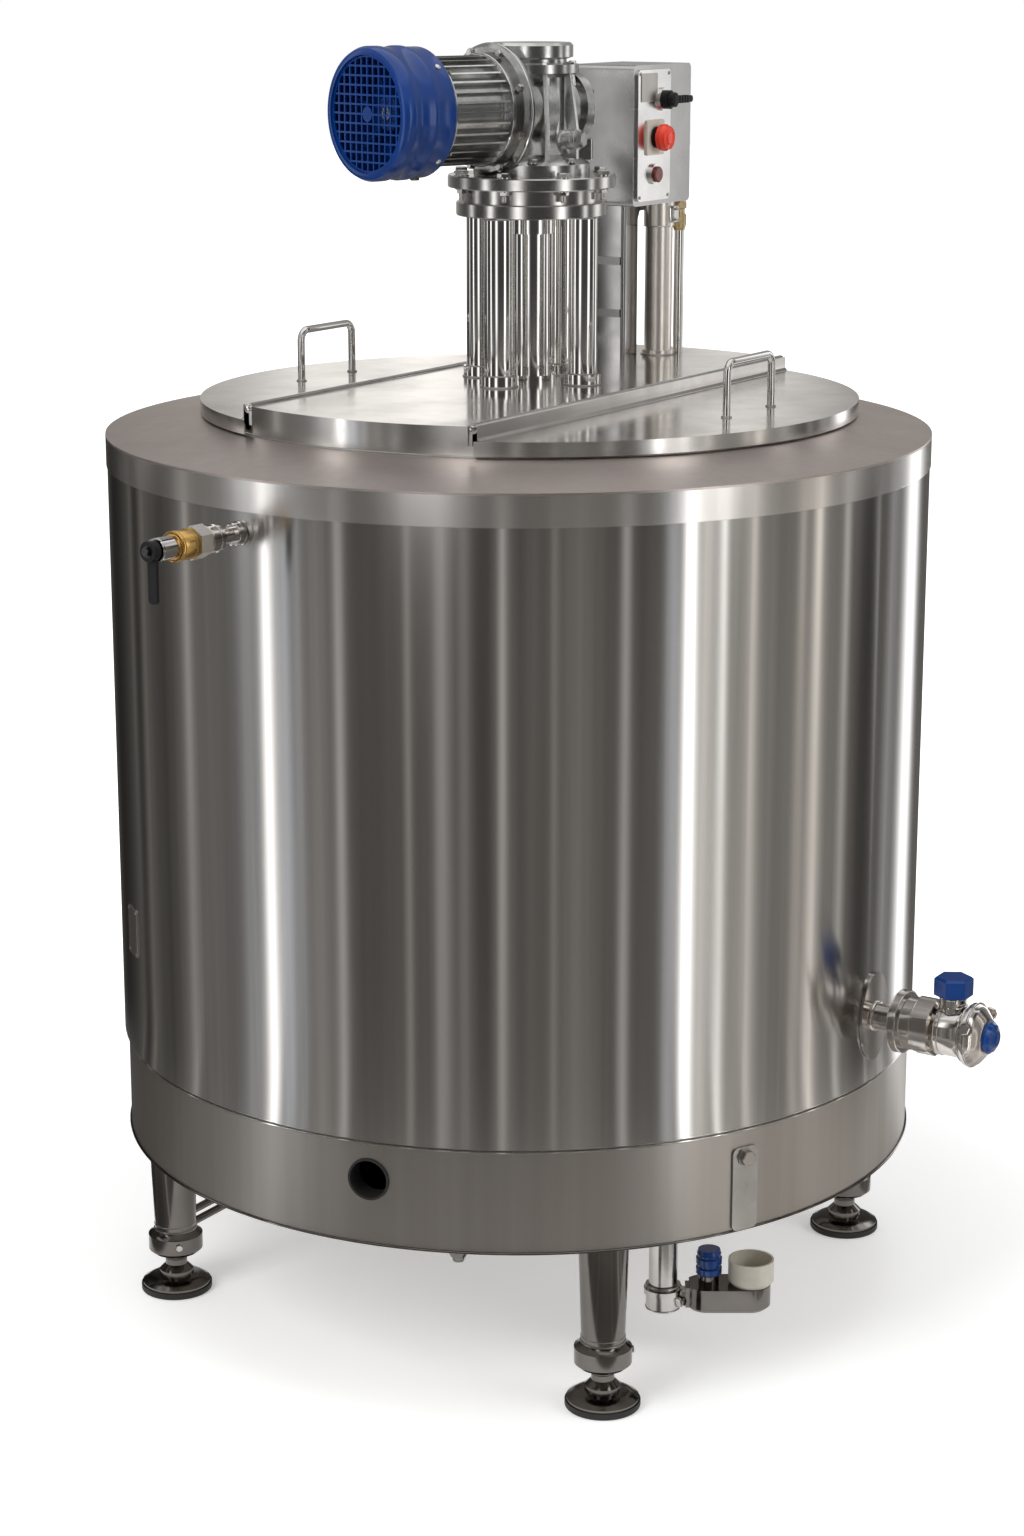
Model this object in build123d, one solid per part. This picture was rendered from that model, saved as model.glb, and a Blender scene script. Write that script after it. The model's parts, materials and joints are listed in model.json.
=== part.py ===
from build123d import *

import os
from math import cos, radians, sin, sqrt

# Batch pasteurizer: a round double-walled vat on four adjustable legs, with a
# fixed bridge across its mouth, two hinged half lids, a geared agitator drive
# on four posts, a control box on a column, a product outlet valve, a sampling
# tap and a small drain valve under the vat.
# Sizes are millimetres. X runs along the bridge towards the control box, Y
# across it away from the outlet valve, and Z is up from the floor. The model
# is built about the vat's axis and moved at the end so that the origin lies
# under the middle of the whole machine, on the floor.

# Clearances
SEAT_GAP = 0.3
PIN_GAP = 0.08
SWING_GAP = 5.0

# Vat
VAT_RADIUS = 600.0
COLLAR_THICKNESS = 4.0
COLLAR_HEIGHT = 42.0
SHELL_INSET = 1.5
SHELL_THICKNESS = 2.5
SEAM_GAP = 4.0
SEAM_LIP_HEIGHT = 24.0
SKIRT_INSET = 7.0
SKIRT_THICKNESS = 3.0
FLOOR_TO_SKIRT = 256.0
SKIRT_HEIGHT = 150.0
VAT_HEIGHT = 1050.0
DECK_THICKNESS = 3.0
DECK_RISE = 22.0
JACKET_WIDTH = 80.0
VESSEL_WALL = 3.0
VESSEL_FLOOR_HEIGHT = 226.0
VESSEL_DISH = 28.0
BASE_PLATE_THICKNESS = 5.0
BASE_PLATE_RECESS = 6.0

SKIRT_BOTTOM = FLOOR_TO_SKIRT
SEAM_Z = SKIRT_BOTTOM + SKIRT_HEIGHT
RIM_Z = SKIRT_BOTTOM + VAT_HEIGHT
SHELL_RADIUS = VAT_RADIUS - SHELL_INSET
SKIRT_RADIUS = VAT_RADIUS - SKIRT_INSET
VESSEL_RADIUS = VAT_RADIUS - JACKET_WIDTH
VESSEL_FLOOR_Z = SKIRT_BOTTOM + VESSEL_FLOOR_HEIGHT
BASE_TOP = SKIRT_BOTTOM + BASE_PLATE_RECESS + BASE_PLATE_THICKNESS
BASE_BOTTOM = SKIRT_BOTTOM + BASE_PLATE_RECESS

# Mouth, bridge and lids
MOUTH_OFFSET = 30.0
MOUTH_MARGIN = 16.0
NECK_WALL = 3.0
NECK_HEIGHT = 15.0
BRIDGE_HALF_WIDTH = 178.0
BRIDGE_DEPTH = 26.0
BRIDGE_SHEET = 3.0
LID_OVERHANG = 7.0
LID_SHEET = 2.0
LID_SKIRT = 20.0
HINGE_RADIUS = 7.0
HINGE_PIN_RADIUS = 3.0
HINGE_LEAF = 3.0
HINGE_KNUCKLES = 15
HINGE_KNUCKLE_GAP = 0.8
HANDLE_ROD = 11.0
HANDLE_LENGTH = 132.0
HANDLE_HEIGHT = 76.0
HANDLE_BEND = 16.0
HANDLE_SETBACK = 110.0

NECK_RADIUS = VESSEL_RADIUS - MOUTH_OFFSET - MOUTH_MARGIN
LID_RADIUS = NECK_RADIUS + LID_OVERHANG
HANDLE_REACH = NECK_RADIUS - HANDLE_SETBACK
DECK_TOP = RIM_Z + DECK_RISE
NECK_TOP = DECK_TOP + NECK_HEIGHT
BRIDGE_TOP = NECK_TOP + BRIDGE_DEPTH
LID_TOP = NECK_TOP + SWING_GAP + LID_SHEET
HINGE_Y = BRIDGE_HALF_WIDTH + HINGE_RADIUS
HINGE_Z = BRIDGE_TOP - HINGE_PIN_RADIUS
LID_EDGE_Y = HINGE_Y + HINGE_RADIUS - HINGE_LEAF

# Legs and feet
LEG_COUNT = 4
LEG_FIRST_ANGLE = 45.0
LEG_INSET = 65.0
LEG_TOP_RADIUS = 36.0
LEG_BOTTOM_RADIUS = 31.0
LEG_WALL = 3.0
LEG_COLLAR_RADIUS = 41.0
LEG_COLLAR_HEIGHT = 36.0
FOOT_RADIUS = 53.5
FOOT_PAD_HEIGHT = 10.0
FOOT_DISC_HEIGHT = 14.0
FOOT_STEM_RADIUS = 16.5
FOOT_STEM_HEIGHT = 38.0
TIE_RADIUS = 11.0
TIE_HEIGHT = 155.0
TIE_ANGLES = (90.0, 0.0)

LEG_REACH = VAT_RADIUS - LEG_INSET
FOOT_TOP = FOOT_PAD_HEIGHT + FOOT_DISC_HEIGHT + FOOT_STEM_HEIGHT
LEG_TUBE_BOTTOM = FOOT_TOP + LEG_COLLAR_HEIGHT

# Agitator drive tower
TOWER_X = 35.0
POST_RADIUS = 21.2
POST_WALL = 2.0
POST_OFFSET = 87.5
POST_HEIGHT = 240.0
POST_SHOE_RADIUS = 26.0
POST_SHOE_HEIGHT = 16.0
HOUSING_RADIUS = 27.0
HOUSING_WALL = 4.0
HOUSING_FOOT = 10.0
HOUSING_HEAD = 26.0
SHAFT_RADIUS = 15.0
LOWER_FLANGE_RADIUS = 109.5
LOWER_FLANGE_HEIGHT = 20.0
DRUM_RADIUS = 100.0
DRUM_HEIGHT = 20.0
UPPER_PLATE_RADIUS = 121.5
UPPER_PLATE_HEIGHT = 18.0
GEAR_HEIGHT = 185.0
GEAR_RADIUS = 54.0
GEAR_BASE_RADIUS = 84.0
GEAR_BASE_HEIGHT = 22.0
GEAR_FLANGE_RADIUS = 68.0
GEAR_FLANGE_HEIGHT = 12.0
GEAR_CAP_RADIUS = 59.5
GEAR_CAP_HEIGHT = 20.0
GEAR_RIB_COUNT = 8
GEAR_RIB_THICKNESS = 7.0
GEAR_BACK_RADIUS = 50.0
GEAR_BACK_REACH = 78.0
GEAR_PLUG_RADIUS = 15.0
GEAR_PLUG_REACH = 74.0
GEAR_PLUG_HEIGHT = 50.0
GEAR_LUG_REACH = 88.0
GEAR_LUG_TURN = 145.0
GEAR_PLUG_TURN = 115.0
GEAR_LUG_WIDTH = 44.0
MOTOR_HEADING = 162.0
MOTOR_AXIS_HEIGHT = 93.0

TOWER_TOP = BRIDGE_TOP + POST_HEIGHT
DRUM_BOTTOM = TOWER_TOP + LOWER_FLANGE_HEIGHT
PLATE_BOTTOM = DRUM_BOTTOM + DRUM_HEIGHT
GEAR_BOTTOM = PLATE_BOTTOM + UPPER_PLATE_HEIGHT
MOTOR_Z = GEAR_BOTTOM + MOTOR_AXIS_HEIGHT

# Motor, measured outwards from the tower's axis
THROAT_RADIUS = 62.0
ADAPTER_START = 66.0
ADAPTER_END = 86.0
ADAPTER_RADIUS = 92.0
MOTOR_END = 207.0
MOTOR_RADIUS = 66.0
MOTOR_FIN_RADIUS = 76.0
MOTOR_FIN_COUNT = 32
MOTOR_FIN_THICKNESS = 3.0
MOTOR_END_RADIUS = 78.0
FAN_COVER_END = 300.0
FAN_COVER_RADIUS = 91.0
FAN_COVER_WALL = 2.5
GRILLE_PITCH = 13.0
GRILLE_WIRE = 2.6
GRILLE_RECESS = 4.0
FAN_RADIUS = 76.0
FAN_HUB_RADIUS = 24.0
FAN_START = 226.0
FAN_WIDTH = 34.0
FAN_BLADES = 7
FAN_BLADE_THICKNESS = 3.0
FAN_SHAFT_RADIUS = 9.0
TERMINAL_SIZE = 92.0
TERMINAL_RISE = 52.0

# Agitator inside the vat
AGITATOR_CLEARANCE = 45.0
PADDLE_SPAN = 640.0
PADDLE_WIDTH = 90.0
PADDLE_PITCH = 35.0
PADDLE_THICKNESS = 8.0
PADDLE_HUB_RADIUS = 28.0
PADDLE_SPACING = 330.0

# Control box and its column
COLUMN_SETBACK = 96.0
COLUMN_RADIUS = 21.2
COLUMN_WALL = 2.0
COLUMN_SHOE_RADIUS = 26.0
COLUMN_SHOE_HEIGHT = 8.0
COLUMN_CLAMP_RADIUS = 24.0
COLUMN_CLAMP_HEIGHT = 38.0
BOX_LENGTH = 174.0
BOX_OVERHANG = 40.0
BOX_WIDTH = 118.0
BOX_FRONT = 30.5
BOX_HEIGHT = 208.0
BOX_FLOOR = 236.0
BOX_EDGE = 8.0
BOX_LID_LENGTH = 98.0
BOX_LID_THICKNESS = 4.0
BOX_LID_MARGIN = 7.0
ESTOP_RADIUS = 20.0
ESTOP_STEM_RADIUS = 11.0
ESTOP_TRAVEL = 5.0
ESTOP_DROP = 107.0
ESTOP_PLATE = 52.0
ESTOP_PLATE_THICKNESS = 3.0
PILOT_RADIUS = 12.0
PILOT_HEIGHT = 11.0
PILOT_TRAVEL = 2.5
PILOT_DROP = 162.0
SELECTOR_RADIUS = 14.0
SELECTOR_HEIGHT = 13.0
SELECTOR_LEVER = 66.0
SELECTOR_DROP = 52.0
SELECTOR_SHIFT = 25.0
BUTTON_FLOAT = 0.3
BEZEL_WALL = 4.0
BEZEL_HEIGHT = 5.0
GLAND_RADIUS = 8.5
GLAND_NUT_RADIUS = 10.5
GLAND_LENGTH = 46.0
GLAND_OFFSET = 29.0
GLAND_FORWARD = 19.5
CONDUIT_RADIUS = 7.5
RISER_GAP = 33.0
RISER_DEPTH = 41.0
RISER_WIDTH = 66.0
RISER_SIDE = 19.0
RISER_SHEET = 3.0
RISER_BAND_HEIGHT = 12.0
RISER_BAND_LEVELS = (62.0, 142.0)
RISER_ARM_DEPTH = 14.0

COLUMN_X = MOUTH_OFFSET + NECK_RADIUS - COLUMN_SETBACK
BOX_RIGHT = COLUMN_X + BOX_OVERHANG
BOX_LEFT = BOX_RIGHT - BOX_LENGTH
PANEL_X = BOX_LEFT + BOX_LID_MARGIN + BOX_LID_LENGTH / 2
BOX_BOTTOM = BRIDGE_TOP + BOX_FLOOR
BOX_TOP = BOX_BOTTOM + BOX_HEIGHT
BOX_FACE_Y = -BOX_FRONT - BOX_LID_THICKNESS
GLAND_X = COLUMN_X + GLAND_OFFSET
RISER_END = COLUMN_X - RISER_GAP

# Product outlet valve, measured outwards from the vat's axis
OUTLET_ANGLE = 270.0
OUTLET_Z = 507.0
OUTLET_PIPE_RADIUS = 19.0
OUTLET_PIPE_WALL = 2.0
OUTLET_PAD_WIDTH = 84.0
OUTLET_PAD_HEIGHT = 130.0
OUTLET_PAD_THICKNESS = 4.0
OUTLET_STUB_LENGTH = 41.5
OUTLET_FERRULE_LENGTH = 12.0
OUTLET_FERRULE_RADIUS = 45.0
OUTLET_UNION_LENGTH = 20.0
OUTLET_UNION_RADIUS = 38.0
OUTLET_NUT_LENGTH = 26.0
OUTLET_NUT_FLATS = 76.0
OUTLET_BODY_LENGTH = 47.0
OUTLET_BODY_RADIUS = 36.0
OUTLET_CLAMP_LENGTH = 31.0
OUTLET_CLAMP_RADIUS = 45.0
OUTLET_CAP_RADIUS = 22.5
OUTLET_CAP_LENGTH = 14.0
OUTLET_NECK_RADIUS = 19.0
OUTLET_NECK_TOP = 52.0
OUTLET_STEM_RADIUS = 8.0
OUTLET_KNOB_FLATS = 48.0
OUTLET_KNOB_HEIGHT = 27.0
OUTLET_STEM_DEPTH = 12.0

OUTLET_FERRULE_START = SHELL_RADIUS + OUTLET_STUB_LENGTH
OUTLET_FERRULE_END = OUTLET_FERRULE_START + OUTLET_FERRULE_LENGTH
OUTLET_UNION_END = OUTLET_FERRULE_END + OUTLET_UNION_LENGTH
OUTLET_NUT_END = OUTLET_UNION_END + OUTLET_NUT_LENGTH
OUTLET_BODY_END = OUTLET_NUT_END + OUTLET_BODY_LENGTH
OUTLET_CLAMP_END = OUTLET_BODY_END + OUTLET_CLAMP_LENGTH
OUTLET_STEM_REACH = OUTLET_NUT_END + OUTLET_BODY_LENGTH / 2

# Sampling tap, from the cladding outwards
TAP_ANGLE = 174.0
TAP_DROP = 75.0
TAP_BOSS_RADIUS = 15.0
TAP_BOSS_LENGTH = 13.5
TAP_NIPPLE_RADIUS = 10.0
TAP_NIPPLE_LENGTH = 28.0
TAP_COLLAR_RADIUS = 17.0
TAP_COLLAR_LENGTH = 6.0
TAP_SLEEVE_RADIUS = 18.5
TAP_SLEEVE_LENGTH = 22.0
TAP_NUT_FLATS = 40.0
TAP_NUT_LENGTH = 22.0
TAP_BODY_RADIUS = 20.0
TAP_BODY_LENGTH = 36.0
TAP_NOSE_RADIUS = 15.5
TAP_NOSE_LENGTH = 30.0
TAP_PLUG_RADIUS = 5.0
TAP_PLUG_LENGTH = 15.0
TAP_LEVER_LENGTH = 67.0
TAP_LEVER_WIDTH = 15.0
TAP_LEVER_THICKNESS = 5.0
TAP_LEVER_STANDOFF = 2.0

TAP_Z = RIM_Z - TAP_DROP
TAP_NUT_START = (SHELL_RADIUS + TAP_BOSS_LENGTH + TAP_NIPPLE_LENGTH + TAP_COLLAR_LENGTH
                 + TAP_SLEEVE_LENGTH)
TAP_NUT_END = TAP_NUT_START + TAP_NUT_LENGTH
TAP_BODY_END = TAP_NUT_END + TAP_BODY_LENGTH
TAP_NOSE_END = TAP_BODY_END + TAP_NOSE_LENGTH

# Skirt port, nozzle and bracket
PORT_ANGLE = 192.0
PORT_Z = 352.0
PORT_RADIUS = 27.0
PORT_WALL = 3.0
PORT_LENGTH = 34.0
NOZZLE_ANGLE = 203.0
NOZZLE_INSET = 80.0
NOZZLE_DROP = 44.0
NOZZLE_TOP_RADIUS = 24.0
NOZZLE_BOTTOM_RADIUS = 11.0
NOZZLE_BORE_RADIUS = 6.0
BRACKET_ANGLE = 244.0
BRACKET_WIDTH = 42.0
BRACKET_HEIGHT = 122.0
BRACKET_THICKNESS = 3.0

NOZZLE_REACH = VAT_RADIUS - NOZZLE_INSET

# Drain valve under the vat
DRAIN_ANGLE = 243.0
DRAIN_INSET = 190.0
DRAIN_HEADING = -58.0
DRAIN_PIPE_RADIUS = 21.0
DRAIN_CAP_RADIUS = 25.0
DRAIN_CAP_BOTTOM = 70.0
DRAIN_CAP_TOP = 104.0
DRAIN_BODY_START = 32.0
DRAIN_BODY_LENGTH = 124.0
DRAIN_BODY_RADIUS = 31.0
DRAIN_BODY_BOTTOM = 74.0
DRAIN_BODY_TOP = 110.0
DRAIN_KNOB_RADIUS = 19.0
DRAIN_KNOB_HEIGHT = 38.0
DRAIN_KNOB_REACH = 66.0
DRAIN_NECK_HEIGHT = 14.0
DRAIN_STEM_RADIUS = 7.0
DRAIN_CUP_REACH = 127.0
DRAIN_CUP_RADIUS = 33.0
DRAIN_CUP_WALL = 3.0
DRAIN_CUP_HEIGHT = 38.0

DRAIN_REACH = VAT_RADIUS - DRAIN_INSET

# Cylinders and boxes that stand on their own foot
BASE = (Align.CENTER, Align.CENTER, Align.MIN)


def disc(radius, bottom, top, x=0.0, y=0.0):
    """Upright solid cylinder between two heights."""
    return Pos(x, y, (bottom + top) / 2) * Cylinder(radius, top - bottom)


def tube(outer, inner, bottom, top, x=0.0, y=0.0):
    """Upright tube between two heights."""
    return disc(outer, bottom, top, x, y) - disc(inner, bottom - 1, top + 1, x, y)


def block(x0, x1, y0, y1, z0, z1):
    """Box between two corners."""
    return Pos((x0 + x1) / 2, (y0 + y1) / 2, (z0 + z1) / 2) * Box(x1 - x0, y1 - y0, z1 - z0)


def turned(points):
    """Solid turned about Z from a closed outline of (radius, height) points."""
    outline = Plane.XZ * make_face(Polyline(*points, close=True))
    return revolve(outline, Axis.Z)


def outward(shape, angle, height):
    """Lays a shape built along +Z out along the radius at an angle and height."""
    return Rot(0, 0, angle) * Pos(0, 0, height) * Rot(0, 90, 0) * shape


def at_tower(shape):
    return Pos(TOWER_X, 0, 0) * shape


def at_motor(shape):
    """Lays a shape built along +Z out from the tower along the motor's axis."""
    return Pos(TOWER_X, 0, MOTOR_Z) * Rot(0, 0, MOTOR_HEADING) * Rot(0, 90, 0) * shape


def polar(radius, angle):
    return radius * cos(radians(angle)), radius * sin(radians(angle))


# Vat body

def cone_over_mouth(drop):
    """Shallow cone from the rim up to the offset mouth, lowered by a drop."""
    foot = Pos(0, 0, RIM_Z - drop) * Circle(VAT_RADIUS)
    head = Pos(MOUTH_OFFSET, 0, DECK_TOP - drop) * Circle(NECK_RADIUS)
    return loft([foot, head])


def make_deck():
    """Conical steel deck from the rim to the neck of the mouth."""
    plate = cone_over_mouth(0) + disc(VAT_RADIUS, RIM_Z - DECK_THICKNESS, RIM_Z)
    mouth = disc(NECK_RADIUS, RIM_Z - BRIDGE_DEPTH, DECK_TOP + 1, MOUTH_OFFSET)
    return plate - cone_over_mouth(DECK_THICKNESS) - mouth


def make_neck():
    """Upright ring of the mouth, which carries the bridge."""
    return tube(NECK_RADIUS, NECK_RADIUS - NECK_WALL, DECK_TOP - BRIDGE_DEPTH, NECK_TOP, MOUTH_OFFSET)


def make_rim_collar():
    """Heavier band round the top of the cladding."""
    top = RIM_Z - DECK_THICKNESS
    return tube(VAT_RADIUS, VAT_RADIUS - COLLAR_THICKNESS, top - COLLAR_HEIGHT, top)


def make_shell():
    """Cladding sheet of the vat, with the hole for the outlet pipe."""
    top = RIM_Z - DECK_THICKNESS - COLLAR_HEIGHT
    sheet = tube(SHELL_RADIUS, SHELL_RADIUS - SHELL_THICKNESS, SEAM_Z + SEAM_GAP, top)
    pipe = Pos(0, 0, VESSEL_RADIUS) * Cylinder(
        OUTLET_PIPE_RADIUS + SEAT_GAP, VAT_RADIUS - VESSEL_RADIUS + 10, align=BASE)
    return sheet - outward(pipe, OUTLET_ANGLE, OUTLET_Z)


def make_inner_vessel():
    """Product vessel inside the cladding: straight wall and a shallow dished floor."""
    outer = VESSEL_RADIUS
    inner = VESSEL_RADIUS - VESSEL_WALL
    low = VESSEL_FLOOR_Z
    dish_radius = (outer ** 2 + VESSEL_DISH ** 2) / (2 * VESSEL_DISH)

    def bowl(radius, lift):
        ball = Pos(0, 0, low - VESSEL_DISH + dish_radius + lift) * Sphere(dish_radius)
        return ball & disc(radius, low - VESSEL_DISH - 1, low)

    body = disc(outer, low, DECK_TOP) + bowl(outer, 0)
    hollow = disc(inner, low, DECK_TOP + 1) + bowl(inner, VESSEL_WALL)
    above = disc(VAT_RADIUS + 1, RIM_Z - DECK_THICKNESS - SEAT_GAP, DECK_TOP + 2)
    above = above - cone_over_mouth(DECK_THICKNESS + SEAT_GAP)
    opening = outlet_section(OUTLET_PIPE_RADIUS + SEAT_GAP, inner - VESSEL_WALL, outer + 1)
    return body - hollow - above - opening


def make_skirt():
    """Lower band of the vat, with the lip that laps up inside the cladding."""
    lip_outer = SHELL_RADIUS - SHELL_THICKNESS - SEAT_GAP
    inner = SKIRT_RADIUS - SKIRT_THICKNESS
    band = tube(SKIRT_RADIUS, inner, SKIRT_BOTTOM, SEAM_Z)
    lip = tube(SKIRT_RADIUS, inner, SEAM_Z, SEAM_Z + SEAM_GAP)
    lip = lip + tube(lip_outer, inner, SEAM_Z + SEAM_GAP, SEAM_Z + SEAM_LIP_HEIGHT)
    port = Pos(0, 0, inner - PORT_LENGTH) * Cylinder(
        PORT_RADIUS + PORT_WALL + SEAT_GAP, 3 * PORT_LENGTH, align=BASE)
    return band + lip - outward(port, PORT_ANGLE, PORT_Z)


def make_base_plate():
    """Round plate that closes the skirt and stands on the legs."""
    plate = disc(SKIRT_RADIUS - SKIRT_THICKNESS - SEAT_GAP, BASE_BOTTOM, BASE_TOP)
    drain_x, drain_y = polar(DRAIN_REACH, DRAIN_ANGLE)
    return plate - disc(DRAIN_PIPE_RADIUS + SEAT_GAP, BASE_BOTTOM - 1, BASE_TOP + 1, drain_x, drain_y)


# Legs

def leg_places():
    for index in range(LEG_COUNT):
        yield polar(LEG_REACH, LEG_FIRST_ANGLE + index * 360 / LEG_COUNT)


def leg_outline(extra=0.0):
    """Outside of one leg: tapering tube over its adjusting collar."""
    return [
        (0, FOOT_TOP),
        (LEG_COLLAR_RADIUS - 5 + extra, FOOT_TOP),
        (LEG_COLLAR_RADIUS + extra, FOOT_TOP + 5),
        (LEG_COLLAR_RADIUS + extra, LEG_TUBE_BOTTOM - 8),
        (LEG_BOTTOM_RADIUS + 3 + extra, LEG_TUBE_BOTTOM - 4),
        (LEG_BOTTOM_RADIUS + extra, LEG_TUBE_BOTTOM),
        (LEG_TOP_RADIUS + extra, BASE_BOTTOM),
        (0, BASE_BOTTOM),
    ]


def make_legs():
    hollow = turned([
        (0, LEG_TUBE_BOTTOM),
        (LEG_BOTTOM_RADIUS - LEG_WALL, LEG_TUBE_BOTTOM),
        (LEG_TOP_RADIUS - LEG_WALL, BASE_BOTTOM + 1),
        (0, BASE_BOTTOM + 1),
    ])
    leg = turned(leg_outline()) - hollow
    return [Pos(x, y, 0) * leg for x, y in leg_places()]


def make_feet():
    """Adjustable foot: domed disc and flared stem."""
    disc_top = FOOT_PAD_HEIGHT + FOOT_DISC_HEIGHT
    foot = turned([
        (0, FOOT_PAD_HEIGHT),
        (FOOT_RADIUS - 2, FOOT_PAD_HEIGHT),
        (FOOT_RADIUS - 2, FOOT_PAD_HEIGHT + 4),
        (FOOT_RADIUS - 14, disc_top - 3),
        (FOOT_STEM_RADIUS + 9, disc_top),
        (FOOT_STEM_RADIUS + 9, disc_top + 8),
        (FOOT_STEM_RADIUS, disc_top + 17),
        (FOOT_STEM_RADIUS, FOOT_TOP),
        (0, FOOT_TOP),
    ])
    return [Pos(x, y, 0) * foot for x, y in leg_places()]


def make_foot_pads():
    pad = fillet(Cylinder(FOOT_RADIUS, FOOT_PAD_HEIGHT).edges().group_by(Axis.Z)[0], 3)
    return [Pos(x, y, FOOT_PAD_HEIGHT / 2) * pad for x, y in leg_places()]


def make_leg_ties():
    """Round stays between the hidden legs, one pair on each side of the vat."""
    half = LEG_REACH * sin(radians(180 / LEG_COUNT))
    reach = LEG_REACH * cos(radians(180 / LEG_COUNT))
    legs = [Pos(x, y, 0) * turned(leg_outline(SEAT_GAP)) for x, y in leg_places()]
    ties = []
    for angle in TIE_ANGLES:
        tie = Rot(0, 0, angle) * Pos(reach, 0, TIE_HEIGHT) * Rot(90, 0, 0) * Cylinder(TIE_RADIUS, 2 * half)
        for leg in legs:
            tie = tie - leg
        ties.append(tie)
    return ties


# Port, nozzle and bracket on the skirt and base plate

def make_skirt_port():
    """Short ferrule welded into the skirt."""
    middle = SKIRT_RADIUS - PORT_LENGTH + 2
    ring = Cylinder(PORT_RADIUS + PORT_WALL, PORT_LENGTH) - Cylinder(PORT_RADIUS, PORT_LENGTH + 2)
    return outward(Pos(0, 0, middle + PORT_LENGTH / 2) * ring, PORT_ANGLE, PORT_Z)


def make_nozzle():
    """Small tapered drip nozzle under the base plate."""
    x, y = polar(NOZZLE_REACH, NOZZLE_ANGLE)
    low = BASE_BOTTOM - NOZZLE_DROP
    cone = turned([
        (NOZZLE_BORE_RADIUS, low),
        (NOZZLE_BOTTOM_RADIUS, low),
        (NOZZLE_BOTTOM_RADIUS, low + 10),
        (NOZZLE_TOP_RADIUS, low + 26),
        (NOZZLE_TOP_RADIUS, BASE_BOTTOM),
        (NOZZLE_BORE_RADIUS, BASE_BOTTOM),
    ])
    return Pos(x, y, 0) * cone


def make_bracket():
    """Upright strap on the face of the skirt, with a rounded head."""
    low = SKIRT_BOTTOM + 2
    inner = SKIRT_RADIUS + SEAT_GAP
    sheet = tube(inner + BRACKET_THICKNESS, inner, low, low + BRACKET_HEIGHT)
    window = Pos(SKIRT_RADIUS, 0, low + BRACKET_HEIGHT / 2) * Rot(0, 90, 0) * extrude(
        RectangleRounded(BRACKET_HEIGHT, BRACKET_WIDTH, 9), 20, both=True)
    return Rot(0, 0, BRACKET_ANGLE) * (sheet & window)


# Bridge, hinges and lids

def strip_edge(radius, half_width):
    """Half the length of a chord of the mouth's circle."""
    return sqrt(radius ** 2 - half_width ** 2)


def knuckle_spans():
    """Ends along X of the hinge knuckles, in turn fixed and moving."""
    half = strip_edge(NECK_RADIUS, BRIDGE_HALF_WIDTH) - 2
    pitch = 2 * half / HINGE_KNUCKLES
    for index in range(HINGE_KNUCKLES):
        start = MOUTH_OFFSET - half + index * pitch
        yield index % 2, start + HINGE_KNUCKLE_GAP / 2, start + pitch - HINGE_KNUCKLE_GAP / 2


def along_x(radius, x0, x1, y, z):
    return Pos((x0 + x1) / 2, y, z) * Rot(0, 90, 0) * Cylinder(radius, x1 - x0)


def make_bridge():
    """Pressed tray across the mouth, with its half of the hinge knuckles."""
    strip = Rectangle(3 * VAT_RADIUS, 2 * BRIDGE_HALF_WIDTH)
    outline = Pos(MOUTH_OFFSET, 0, NECK_TOP) * (Circle(NECK_RADIUS) & strip)
    inside = Pos(MOUTH_OFFSET, 0, NECK_TOP) * (
        Circle(NECK_RADIUS - BRIDGE_SHEET)
        & Rectangle(3 * VAT_RADIUS, 2 * (BRIDGE_HALF_WIDTH - BRIDGE_SHEET)))
    tray = extrude(outline, BRIDGE_DEPTH) - extrude(inside, BRIDGE_DEPTH - BRIDGE_SHEET)
    half = strip_edge(NECK_RADIUS, BRIDGE_HALF_WIDTH) - 2
    for side in (1, -1):
        strip = block(MOUTH_OFFSET - half, MOUTH_OFFSET + half, BRIDGE_HALF_WIDTH - 1, LID_EDGE_Y - SWING_GAP,
                      NECK_TOP, HINGE_Z - HINGE_RADIUS - HINGE_KNUCKLE_GAP)
        tray = tray + mirror_side(strip, side)
        for moving, x0, x1 in knuckle_spans():
            if not moving:
                web = block(x0, x1, BRIDGE_HALF_WIDTH - 1, HINGE_Y - HINGE_KNUCKLE_GAP, NECK_TOP, HINGE_Z)
                tray = tray + mirror_side(web, side) + along_x(HINGE_RADIUS, x0, x1, side * HINGE_Y, HINGE_Z)
    for side in (1, -1):
        span = 2 * NECK_RADIUS
        tray = tray - along_x(HINGE_PIN_RADIUS + PIN_GAP, MOUTH_OFFSET - span, MOUTH_OFFSET + span,
                              side * HINGE_Y, HINGE_Z)
    return tray - disc(HOUSING_RADIUS - HOUSING_WALL, BRIDGE_TOP - 10, BRIDGE_TOP + 1, TOWER_X)


def mirror_side(shape, side):
    """Copies a shape of the +Y side to the side that is asked for."""
    if side > 0:
        return shape
    return mirror(shape, Plane.XZ)


def make_hinge_pins():
    half = strip_edge(NECK_RADIUS, BRIDGE_HALF_WIDTH) - 1
    return [along_x(HINGE_PIN_RADIUS, MOUTH_OFFSET - half, MOUTH_OFFSET + half, side * HINGE_Y, HINGE_Z)
            for side in (1, -1)]


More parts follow.
